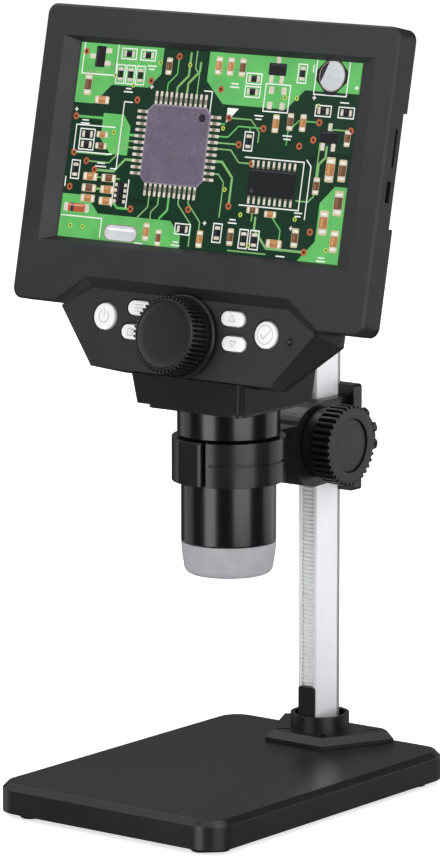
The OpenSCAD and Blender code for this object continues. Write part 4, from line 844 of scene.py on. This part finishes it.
# small parts as bars: width, height, cut corners, middle across and up, level, tone, speckle
smallParts = {
    "tan capacitor": capacitor("tan", "tanShine"),
    "brown capacitor": capacitor("brown", "brownShine"),
    "resistor": [(4.6, 2.2, 0.2, 0, 0, 4, "tin", 0.3), (2.4, 2.25, 0, 0, 0, 5, "black", 0.3),
                 (1.5, 0.4, 0, 0, 0.6, 6, "blackRim", 0)],
    "three legs": [(1.7, 2.6, 0.2, x, y, 4, "tin", 0.3) for x, y in ((-2.2, -3.4), (2.2, -3.4), (0, 3.4))]
    + [(7.4, 4.2, 0.3, 0, 0, 5, "black", 0.4), (6.2, 0.5, 0, 0, 1.5, 6, "blackRim", 0)],
    "four resistors": [(1.15, 1.5, 0.15, x * 1.9, y * 1.9, 4, "tin", 0.3)
                       for x in (-1.5, -0.5, 0.5, 1.5) for y in (-1, 1)]
    + [(7.6, 2.9, 0.3, 0, 0, 5, "black", 0.4), (6.4, 0.4, 0, 0, 0.8, 6, "blackRim", 0)],
    "diode": [(2.0, 3.0, 0.3, side * 4.6, 0, 4, "tin", 0.3) for side in (-1, 1)]
    + [(7.6, 3.0, 0.6, 0, 0, 5, "glass", 0.35), (6.6, 0.6, 0.1, 0, 0.8, 6, "glassShine", 0),
       (1.2, 3.0, 0, -1.9, 0, 6, "band", 0)],
    "bare place": [(2.1, 2.5, 0.2, x, y, 3, "tin", 0.25) for x in (-2.6, 2.6) for y in (-2.6, 2.6)],
}
silkBoxes = {"resistor": (6.4, 3.6), "four resistors": (9.6, 6.4, (2, 3)), "bare place": (10.4, 9.4)}


def layPart(kind, u, v, turn, size=1.0):
    for w, h, cut, x, y, level, tone, speckle in smallParts[kind]:
        lay(turned(bar(w * size, h * size, cut, x * size, y * size), u, v, turn), level, tone, speckle)
    if kind in silkBoxes:
        laySilkBox(u, v, turn, *silkBoxes[kind])


def layFlatChip(u, v, w, h, legs):
    # narrow chip with legs on its two long sides
    for k in range(legs):
        x = (k - (legs - 1) / 2) * w / legs
        for side in (-1, 1):
            lay(bar(0.95, 3.2, 0.1, u + x, v + side * (h / 2 + 1.1)), 4, "tin", 0.3)
            lay(bar(0.95, 0.7, 0, u + x, v + side * (h / 2 + 0.35)), 5, "tinDark")
    lay(bar(w, h, 0.4, u, v), 6, "black", 0.45)
    lay(bar(w - 1.2, 0.45, 0, u, v + h / 2 - 0.7), 7, "blackRim")
    lay(spot(0.8, 12, u + 1.9 - w / 2, v + 1.8 - h / 2), 7, "blackRim")


def layCan(u, v, r):
    lay(turned(bar(2.15 * r, 2.15 * r, 0.45 * r), u, v, 45), 4, "black", 0.2)
    lay(spot(r, 28, u, v), 5, "tinDark")
    lay(spot(r * 0.93, 28, u, v), 6, "can", 0.3)
    lay(onArc(r * 0.93, range(110, 215, 7), u, v), 7, "canDark")


def layCrystal(u, v):
    ends = [(4.6 + x, y) for x, y in onArc(2.9, range(-90, 91, 15))]
    shape = ends + [(-x, -y) for x, y in ends]
    for across, up, lift, level, tone, speckle in (
            (1, 1, 0, 4, "tinDark", 0), (0.94, 0.88, 0, 5, "can", 0.35), (0.8, 0.16, 1.2, 6, "canShine", 0)):
        lay([(u + x * across, v + y * up + lift) for x, y in shape], level, tone, speckle)


pours = (
    [(-61, 34.6), (-61, 13), (-52, 13), (-45, 20), (-29, 20), (-24, 25), (-24, 34.6)],
    [(-4, 34.6), (-4, 24), (4, 16.5), (31, 16.5), (38, 23.5), (61, 23.5), (61, 34.6)],
    [(-61, -34.6), (-61, -19), (-50, -19), (-44, -25), (-12, -25), (-7, -30), (-7, -34.6)],
    [(61, -34.6), (61, -8), (55.5, -8), (50, -14), (50, -27), (43, -34.6)],
    [(-42, -4), (-34.5, -4), (-34.5, 6), (-38, 10), (-47, 10), (-47, 1)])
shades = (
    [(-61, -14), (-44, -14), (-38, -20), (-20, -20), (-20, -18.6), (-37.4, -18.6), (-43.4, -12.6),
     (-61, -12.6)],
    [(61, 3), (46, 3), (41, -2), (41, -4), (42, -4), (46.6, 0.8), (61, 0.8)])
routes = (
    [(-31, 3.2), (-36, 3.2), (-41, 8.2), (-58, 8.2)], [(-31, 1.1), (-37, 1.1), (-42.5, -4.4), (-57, -4.4)],
    [(-31, -1.1), (-36, -1.1), (-42, -7.1), (-51, -7.1)],
    [(-31, -5.4), (-35, -5.4), (-39.5, -9.9), (-47, -9.9)], [(3, 5.4), (8, 5.4), (12, 9.4), (22, 9.4)],
    [(3, 1.1), (10, 1.1), (14, -2.9), (19, -2.9)], [(3, -3.2), (7, -3.2), (12, -8.2), (12, -17)],
    [(3, -7.5), (6, -7.5), (8.6, -10.1), (8.6, -22)], [(-20.5, 19), (-20.5, 22), (-17, 25.5), (-17, 31)],
    [(-16.2, 19), (-16.2, 21), (-12, 25.2), (-12, 33)], [(-7.5, 19), (-7.5, 26), (-9.5, 28), (-9.5, 34)],
    [(-22.6, -16), (-22.6, -21), (-27, -25.4), (-27, -31)],
    [(-14, -16), (-14, -21.5), (-17, -24.5), (-17, -30)], [(-9.7, -16), (-9.7, -19), (-3, -25.7), (-3, -33)],
    [(40, -14), (45, -14), (47, -12), (47, 6), (52, 11), (59, 11)],
    [(24, -21), (24, -25), (30, -31), (45, -31)], [(33, 4.5), (33, 9), (37, 13), (45, 13)],
    [(21, 4.5), (21, 8), (17, 12), (8, 12)], [(-56, 24), (-50, 24), (-47, 27), (-45, 27)],
    [(14, -33), (30, -33)], [(-46, -12.4), (-44.6, -12.4)], [(-46, -16.4), (-44.6, -16.4)],
    [(-38, -12.4), (-36.4, -12.4)], [(3, 3.2), (12.6, 3.2)], [(-38, -20.4), (-36, -22.4), (-31.6, -22.4)],
    [(-18.4, -16), (-18.4, -20), (-21, -22.6), (-21, -26)],
    [(-5.4, -16), (-5.4, -18.4), (0.6, -24.4), (0.6, -27)],
    [(-11.8, 19), (-11.8, 22.6), (-7.4, 27), (-7.4, 30)], [(3, 9.7), (6, 9.7)], [(17, 7.6), (17, 9.4)],
    [(47.6, -5.4), (47.6, -1), (50, 1.4), (50, 5)], [(22.4, -18.6), (22.4, -22.2)],
    [(30, -19.4), (35, -24.4), (35, -27.6)])


def layBoard(look):
    lay(bar(look["width"], look["height"]), 0, "board", 0.15)
    for outline in pours:
        lay(outline, 1, "pour", 0.12)
    for outline in shades:
        lay(outline, 1, "shade")
    for k, route in enumerate(routes):
        layTrack(route, 0.85 if k % 3 == 0 else 0.5, "track" if k % 4 else "pour")


# across, up and turn; a capacitor's size and whether it is brown
resistors = (
    (-53, 2.2, 0), (-53, -1.4, 0), (-56.4, -10.4, 90), (16, 21.5, 0), (16, 26, 0), (8.6, -27.5, 90),
    (36, 29, 90), (56.2, 17, 0), (-39, 31.2, 0), (-6.4, -27.4, 0), (20, -28.6, 90), (-33, 24, 90),
    (-37.4, 24, 90), (-41.8, 24, 90), (-30.6, 31.2, 0), (46.6, 17, 0), (24.6, -28.6, 90), (17, 4.6, 90))
capacitors = (
    (-49.4, -12.4, 0, 1, 0), (-49.4, -16.4, 0, 1, 1), (-49.4, -20, 0, 1, 0), (-41.2, -12.4, 0, 1, 1),
    (-41.2, -16.4, 0, 1, 0), (-41.2, -20.4, 0, 1, 0), (-46.4, 2.5, 0, 0.8, 0), (-46.4, -1.5, 0, 0.8, 1),
    (-21, 28, 90, 0.95, 1), (1.4, -30.2, 90, 0.95, 0), (14.4, -28.4, 90, 0.95, 1), (57.6, -2.5, 90, 1.2, 1),
    (57.8, -26.4, 90, 1.2, 0), (47.6, -8.4, 90, 0.95, 1), (38.8, 12.4, 90, 0.95, 0), (0.4, 29.5, 90, 1, 0),
    (22.4, -18.6, 0, 0.8, 1), (30, -19.4, 0, 0.8, 0), (27.5, 11.4, 90, 1, 0), (52.5, -2.5, 90, 1.35, 0),
    (57.6, -13.5, 90, 1.35, 1), (52.5, -20.5, 90, 1.35, 0), (33.5, 12.4, 90, 0.95, 1), (5.5, 29.5, 90, 1, 0),
    (-55.5, 19.5, 90, 1.2, 1), (-48.5, 14.5, 0, 1, 0), (-22, -29.6, 90, 1, 0), (-16.4, -31.2, 90, 0.9, 1),
    (58, 8.5, 90, 0.9, 1), (10.6, 29.5, 90, 1, 1), (33, -29.2, 0, 1.05, 0), (41.5, -26.5, 90, 1.05, 1))


def layParts():
    for u, v, turn in resistors:
        layPart("resistor", u, v, turn)
    for u, v, turn, size, brown in capacitors:
        layPart("brown capacitor" if brown else "tan capacitor", u, v, turn, size)
    layPart("three legs", -51.5, 29.5, 90)
    layPart("three legs", 50.4, 8.4, 0)
    layPart("four resistors", -35.4, -17.2, 90)
    layPart("diode", -53.8, -23.6, 0)
    layPart("bare place", 26.6, 20.0, 0)
    layPart("three legs", 25.5, 29.8, 0)
    layFlatChip(29, -9, 20, 9.5, 9)
    laySilkBox(29, -9, 0, 25, 16.4, (3,))
    layCan(48.5, 29, 5.4)
    laySilkBox(48.5, 29, 0, 13.6, 13.2, (0,))
    layCrystal(-33, -31)
    laySilkBox(-51.5, 29.5, 0, 15, 12.4)
    laySilkBox(-49.8, 0.6, 0, 17, 9.4, (2,))


# across, up and turn of short plain dashes, and how long they are
dashes = (
    (-37.4, 18, 0, (1.8, 1.1)), (-28.4, 26.4, 0, (1.1, 1.8)), (-54.6, 5.9, 0, (1.8, 1.3)),
    (-45.4, -8.6, 0, (2.2, 1.6)), (8.2, 22.6, 0, (1.8, 1.4)), (33, 6.4, 0, (1.4, 1.8)), (55, 20.3, 0, (1.7,)),
    (14.5, -23.6, 0, (1.7, 1.2)), (36.4, -33.2, 0, (1.7,)), (-24.6, -33.8, 0, (1.6,)),
    (20, 12.4, 0, (1.2, 1.7)), (53.4, -33.4, 0, (1.7, 1.2)), (-8.6, -33.2, 0, (1.7, 1.1)),
    (41.6, 31, 90, (1.6, 1.2)), (-60.2, -14.8, 90, (1.6,)), (41.6, -19.2, 0, (1.1, 1.5)))
crosses = (
    (-27.4, 20.4), (42.2, 21.2), (2.8, -24.6), (-59.2, 10.6), (39.4, -23.4), (59.2, 25.6))
guides = (
    [(-41, -9), (-38.5, -9), (-38.5, 14.5), (-35, 14.5)], [(44.5, -20), (44.5, -2), (42.5, 0)],
    [(-60, -26.6), (-42, -26.6), (-42, -33)], [(-1, 13.2), (-1, 20.5), (-4.5, 20.5)])


def laySilk():
    # a corner mark, dashes beside the parts, crosses and guide lines
    lay([(6.4, 15.4), (11.2, 15.4), (6.4, 10.2)], 3, "silk")
    for u, v, turn, lengths in dashes:
        for k, length in enumerate(lengths):
            lay(turned(bar(length * 2.2, 0.46, 0, 0, k * 1.15), u, v, turn), 3, "silk")
    for u, v in crosses:
        for w, h in ((1.5, 0.4), (0.4, 1.5)):
            lay(bar(w, h, 0, u, v), 3, "silk")
    for points in guides:
        layTrack(points, 0.42, "silk", 3)


chipMiddle = (-14, 1)


def layMainChip():
    # square chip: body, dark rim round it, dimple near one corner; its legs are grown below
    u, v = chipMiddle
    lay(bar(27.6, 27.6, 2.4, u, v), 6, "chipRim")
    lay(bar(26.6, 26.6, 2.1, u - 0.1, v - 0.1), 7, "chip", 1.0)
    lay(spot(1.45, 18, u + 10.1, v + 10.1), 8, "dimple")


def tonedShape(name, slabs, look, lift, place=None):
    # flat shapes as one body, each face with its tone, and its speckle as the alpha
    solids, colours = [], []
    for outline, level, tone, speckle in slabs:
        outline = [(u, v + lift) for u, v in outline]
        solids.append(prism(outline, look["front"] - look["step"] * level, look["back"]))
        colours += [paint(tones[tone])[:3] + (speckle,)] * (len(outline) + 2)
    piece = rawShape(name, *merged(solids), place)
    layer = piece.data.color_attributes.new(name="tone", type="FLOAT_COLOR", domain="CORNER")
    for face, colour in zip(piece.data.polygons, colours):
        for k in face.loop_indices:
            layer.data[k].color = colour
    return piece


def litPicture(look):
    # lit picture: tone per shape, speckle where its alpha asks for it, under a soft sheen
    material, tree, surface, place = newMaterial("lit picture", {
        "Roughness": 0.32, "Specular IOR Level": 0.25, "Emission Strength": look["glow"]})
    tone = tree.nodes.new("ShaderNodeAttribute")
    tone.attribute_name = "tone"
    fine = spread(tree, addNoise(tree, place, 0.55, 4, 0.75), 0.72, 1.3, 0.35, 0.65)
    cloud = spread(tree, addNoise(tree, place, 7.0), 0.9, 1.1)
    both = addNode(tree, "Math", {0: fine, 1: cloud}, operation="MULTIPLY").outputs[0]
    mix = addNode(tree, "Mix", {0: tone.outputs["Alpha"], 2: cloud, 3: both}, data_type="FLOAT").outputs[0]
    shaded = addNode(tree, "VectorMath", {0: tone.outputs["Color"], 1: mix},
                     operation="MULTIPLY").outputs["Vector"]
    dim = addNode(tree, "VectorMath", {0: shaded}, {3: look["paint"]}, operation="SCALE").outputs["Vector"]
    tree.links.new(shaded, surface.inputs["Emission Color"])
    coat(tree, surface, dim)
    return material


# rings on the board, copper and small; a chip leg is a bar with its foot
vias = (
    (-59, 8.2), (-58, -4.4), (-52, -7.1), (-48, -9.9), (22.6, 9.4), (19.6, -2.9), (12, -18), (-17, 31.6),
    (-27, -31.6), (45.6, 13), (7.4, 12), (59, 11), (46, -31), (-58, -16.5), (44, 7), (38.5, 4.5), (13, 3.2),
    (-33, 15.5), (-28, 22.5), (-5, -20.5), (-30, -22.3), (2.5, 21.5), (47.5, -24), (-58, 31))
dots = (
    (-44.5, -1.2), (-41.5, 3.6), (5.5, 8.3), (9.5, -12.5), (17.5, -20.5), (-25, 29), (-35.5, 20.5),
    (30, 20.5), (35, 20.5), (22.5, -30.6), (-44, 23.5), (40.5, -20.2), (55, -29.5), (-55.5, -30),
    (-50, -30), (-12, 29), (1.6, 27.5), (44.5, 18.5))


def chipLeg(w, h, footWidth, footHeight):
    return [(bar(w, h, 0.18), 3, "tin", 0.3), (bar(w * 0.98, h * 0.98, 0.18), 4, "tin", 0.35),
            (bar(footWidth, footHeight, 0.12), 5, "tinDark", 0.3)]


def makePicture(look):
    layBoard(look)
    layParts()
    laySilk()
    layMainChip()
    finish = litPicture(look)
    whole = tonedShape("screenPicture", shapes, look, look["middle"], onHead)
    fit(whole, "head", None, finish)
    row = [(k - 5) * 2.15 for k in range(11)]
    midU, midV = chipMiddle
    across = [(midU + side * 15.6, midV + t) for side in (-1, 1) for t in row]
    up = [(midU + t, midV + side * 15.6) for side in (-1, 1) for t in row]
    long, thin = 5.2, 1.05
    for name, slabs, spots in (
            ("chipLegsAcross", chipLeg(long, thin, long * 0.34, thin), across),
            ("chipLegsUp", chipLeg(thin, long, thin, long * 0.34), up),
            ("copperRings", [(spot(1.25, 16), 3, "copper", 0.5), (spot(0.55, 10), 4, "hole", 0.2)], vias),
            ("smallRings", [(spot(0.85, 12), 3, "ring", 0.3), (spot(0.36, 8), 4, "board", 0.0)], dots)):
        source = tonedShape(name + " shape", slabs, look, 0)
        piece = onSpots(name, source, [(u, 0, v + look["middle"]) for u, v in spots], finish, onHead)
        fit(piece, "head")


makePicture(pictureLook)
print("screen picture: done")

buttonLook = {"proud": 1.6, "flangeFront": 4.45, "flangeBack": 5.2, "post": 1.2, "postEnd": 6.7,
              "pillow": 0.55, "crown": 0.1, "gap": 0.16}


def stadiumOutline(length, width, inset):
    right = onArc(width / 2 - inset, [180 * k / 14 - 90 for k in range(15)], (length - width) / 2)
    return right + [(-x, -y) for x, y in right]


def makeButton(node, x, h, length, width, icon, look):
    def ring(inset, depth):
        return [(x + u, depth, h + v) for u, v in stadiumOutline(length, width, inset + look["gap"])]

    def post(depth):
        spin = [math.atan2(v, u) for u, v in stadiumOutline(length, width, 0)]
        return [(x + look["post"] * math.cos(a), depth, h + look["post"] * math.sin(a)) for a in spin]

    top, pillow, crown, flange = look["proud"], look["pillow"], look["crown"], look["flangeFront"]
    rings = [ring(width / 2 - 0.35, top), ring(width / 4, top + crown * 0.25), ring(0.9, top + crown)]
    for k in range(1, 7):
        a = math.radians(90 * k / 6)
        rings.append(ring(pillow * (1 - math.sin(a)), top + crown + 0.05 + pillow * (1 - math.cos(a))))
    rings += [ring(0, flange), ring(-0.75, flange), ring(-0.8, flange + 0.1), ring(-0.8, look["flangeBack"]),
              post(look["flangeBack"]), post(look["postEnd"])]
    cap = addPiece(node.replace("_button", "Cap"), *skinned(rings), onHead)
    fit(cap, node, node, buttonPlastic)
    # the sign's lines stay closed bars of their own where they meet
    lines = [prism([(x + u, h + v) for u, v in facing(outline)], top - 0.015, top + 0.4) for outline in icon]
    mark = rawShape(node.replace("_button", "Mark"), *merged(lines), onHead)
    fit(mark, node, None, iconInk)


def arcBand(r, width, low, high, steps):
    inner, outer = [onArc(r + side * width / 2, [low + (high - low) * k / steps for k in range(steps + 1)])
                    for side in (-1, 1)]
    return [[inner[k], outer[k], outer[k + 1], inner[k + 1]] for k in range(steps)]


def strokes(points, width):
    return strips(points, width, width)


powerIcon = arcBand(2.1, 0.3, 122, 418, 24) + strokes([(0, 0.4), (0, 2.5)], 0.3)
tickIcon = strokes([(-1.9, 0.1), (-0.6, -1.4), (2.0, 1.6)], 0.34) + arcBand(3.2, 0.22, 0, 360, 32)
menuIcon = [bar(3.3, 0.3, 0, 0, height) for height in (1.1, 0, -1.1)]
captureIcon = strokes([(-1.9, -1.2), (1.9, -1.2), (1.9, 1.0), (-1.9, 1.0), (-1.9, -1.2)], 0.26)
captureIcon += arcBand(0.7, 0.24, 0, 360, 14)
upIcon = strokes([(-1.3, -0.9), (1.3, -0.9), (0, 1.2), (-1.3, -0.9)], 0.28)
downIcon = strokes([(-1.3, 0.9), (1.3, 0.9), (0, -1.2), (-1.3, 0.9)], 0.28)
for node, x, h, length, width, icon in (
        ("power_button", -34.9, -2.9, 9.6, 9.6, powerIcon), ("ok_button", 34.9, -2.9, 9.6, 9.6, tickIcon),
        ("menu_button", -20.2, 1.2, 10.2, 5.4, menuIcon),
        ("capture_button", -21.8, -7.2, 10.2, 5.4, captureIcon),
        ("up_button", 20.2, 1.2, 10.2, 5.4, upIcon), ("down_button", 21.8, -7.2, 10.2, 5.4, downIcon)):
    makeButton(node, x, h, length, width, icon, buttonLook)
print("buttons: done")


def makePorts():
    # tongues with gold contacts inside the two sockets at the right edge
    tongue = block((4.4, 0.62, 5.2), (70.0, 4.52, 49.1), 0.12)
    tray = block((6.0, 0.3, 11.4), (69.6, 5.4, 64.0), 0.08)
    tongues = addPiece("socketTongues", *merged([tongue, tray]), onHead)
    contact = rawShape("socketContacts shape", *block((3.2, 0.06, 0.22), (0, 0, 0), 0.02))
    spots = [(70.3, 4.2, 46.9 + 0.55 * k) for k in range(9)]
    spots += [(69.8, 5.24, 59.2 + 1.2 * k) for k in range(9)]
    gold = onSpots("socketContacts", contact, spots, brass, onHead)
    tidyMesh(gold.data)
    fit(tongues, "head", None, trimPlastic)
    fit(gold, "head")


makePorts()
print("sockets: done")


def makeFloor():
    # pale, lit a little from itself further out, so that it runs out of sight
    size = 3.2
    mesh = bpy.data.meshes.new("floor")
    corners = [(-size, -size, 0), (size, -size, 0), (size, size, 0), (-size, size, 0)]
    mesh.from_pydata(corners, [], [(0, 1, 2, 3)])
    floor = addObject("floor", mesh)
    material, tree, surface, place = newMaterial("pale floor", {
        "Roughness": 0.75, "Specular IOR Level": 0.2, "Emission Strength": 1.0})
    reach = addNode(tree, "VectorMath", {0: place}, operation="LENGTH").outputs["Value"]
    glow = spread(tree, reach, 0.7, 1.0, 0.1, 0.42)
    grey = addNode(tree, "CombineColor", {0: glow, 1: glow, 2: glow}).outputs[0]
    tree.links.new(grey, surface.inputs["Emission Color"])
    coat(tree, surface, blend(tree, addNoise(tree, place, 60), paint("f7f7f7"), paint("fbfbfb")))
    mesh.materials.append(material)
    floor.visible_glossy = False


def softLight(name, azimuth, elevation, distance, width, height, power):
    aim = Vector((0, 0, 0.13))
    a, e = math.radians(azimuth), math.radians(elevation)
    light = bpy.data.lights.new(name, "AREA")
    light.shape, light.size, light.size_y, light.energy = "RECTANGLE", width, height, power
    lamp = addObject(name, light)
    away = Vector((math.sin(a) * math.cos(e), -math.cos(a) * math.cos(e), math.sin(e))) * distance
    lamp.location = aim + away
    lamp.rotation_euler = (-away).to_track_quat("-Z", "Y").to_euler()
    lamp.visible_camera = False


def makeWorld(seen, given):
    # the camera sees the first grey, the pieces are lit by the second
    world = bpy.data.worlds.new("studio")
    world.use_nodes = True
    bpy.context.scene.world = world
    tree = world.node_tree
    paper = tree.nodes["Background"]
    paper.inputs["Color"].default_value = (given, given, given, 1)
    paper.inputs["Strength"].default_value = 1
    clean = addNode(tree, "Background", values={"Color": (seen, seen, seen, 1)})
    path = tree.nodes.new("ShaderNodeLightPath")
    either = addNode(tree, "MixShader", {
        0: path.outputs["Is Camera Ray"], 1: paper.outputs[0], 2: clean.outputs[0]}).outputs[0]
    tree.links.new(either, tree.nodes["World Output"].inputs["Surface"])


cameraLook = {"azimuth": 37.537, "elevation": 9.917, "distance": 1755.8085, "lens": 212.666149,
              "across": -3.042, "height": 132.848}


def makeCamera(look):
    turn, rise = math.radians(look["azimuth"]), math.radians(look["elevation"])
    right = Vector((math.cos(turn), math.sin(turn), 0))
    ahead = Vector((-math.sin(turn), math.cos(turn), 0))
    view = ahead * math.cos(rise) + Vector((0, 0, -math.sin(rise)))
    up = ahead * math.sin(rise) + Vector((0, 0, math.cos(rise)))
    target = right * look["across"] + Vector((0, tubeY, look["height"]))
    at = (target - view * look["distance"]) * mm
    data = bpy.data.cameras.new("camera")
    data.sensor_width, data.sensor_fit, data.lens = 36, "AUTO", look["lens"]
    data.clip_start, data.clip_end = 0.05, 20
    camera = addObject("camera", data)
    camera.matrix_world = Matrix([(right[k], up[k], -view[k], at[k]) for k in range(3)] + [(0, 0, 0, 1)])
    bpy.context.scene.camera = camera


makeFloor()
makeWorld(1.0, 0.052)
# azimuth from the front, elevation, distance, width, height, power
lights = {
    "leftSoftbox": (-8, 10, 1.1, 0.58, 1.5, 7.2), "rightSoftbox": (69.5, 14, 1.1, 0.9, 1.3, 8.6),
    "topSoftbox": (20, 80, 1.2, 1.0, 1.0, 3.0), "rightRim": (155, 0.2, 1.1, 1.05, 0.64, 1.72),
    "leftRim": (-78, 6, 1.1, 0.8, 1.3, 1.7), "backTop": (217, 14, 1.3, 2.0, 0.5, 0.33),
    "sideTop": (98, 52, 1.1, 0.7, 0.7, 2.4), "leftTop": (-42, 36, 1.2, 0.8, 0.6, 2.2),
    "rearFill": (238, 52, 1.4, 1.2, 0.9, 5.0),
}
for name, settings in lights.items():
    softLight(name, *settings)
makeCamera(cameraLook)
bpy.context.scene.view_settings.view_transform = "Standard"
print("stage: done")
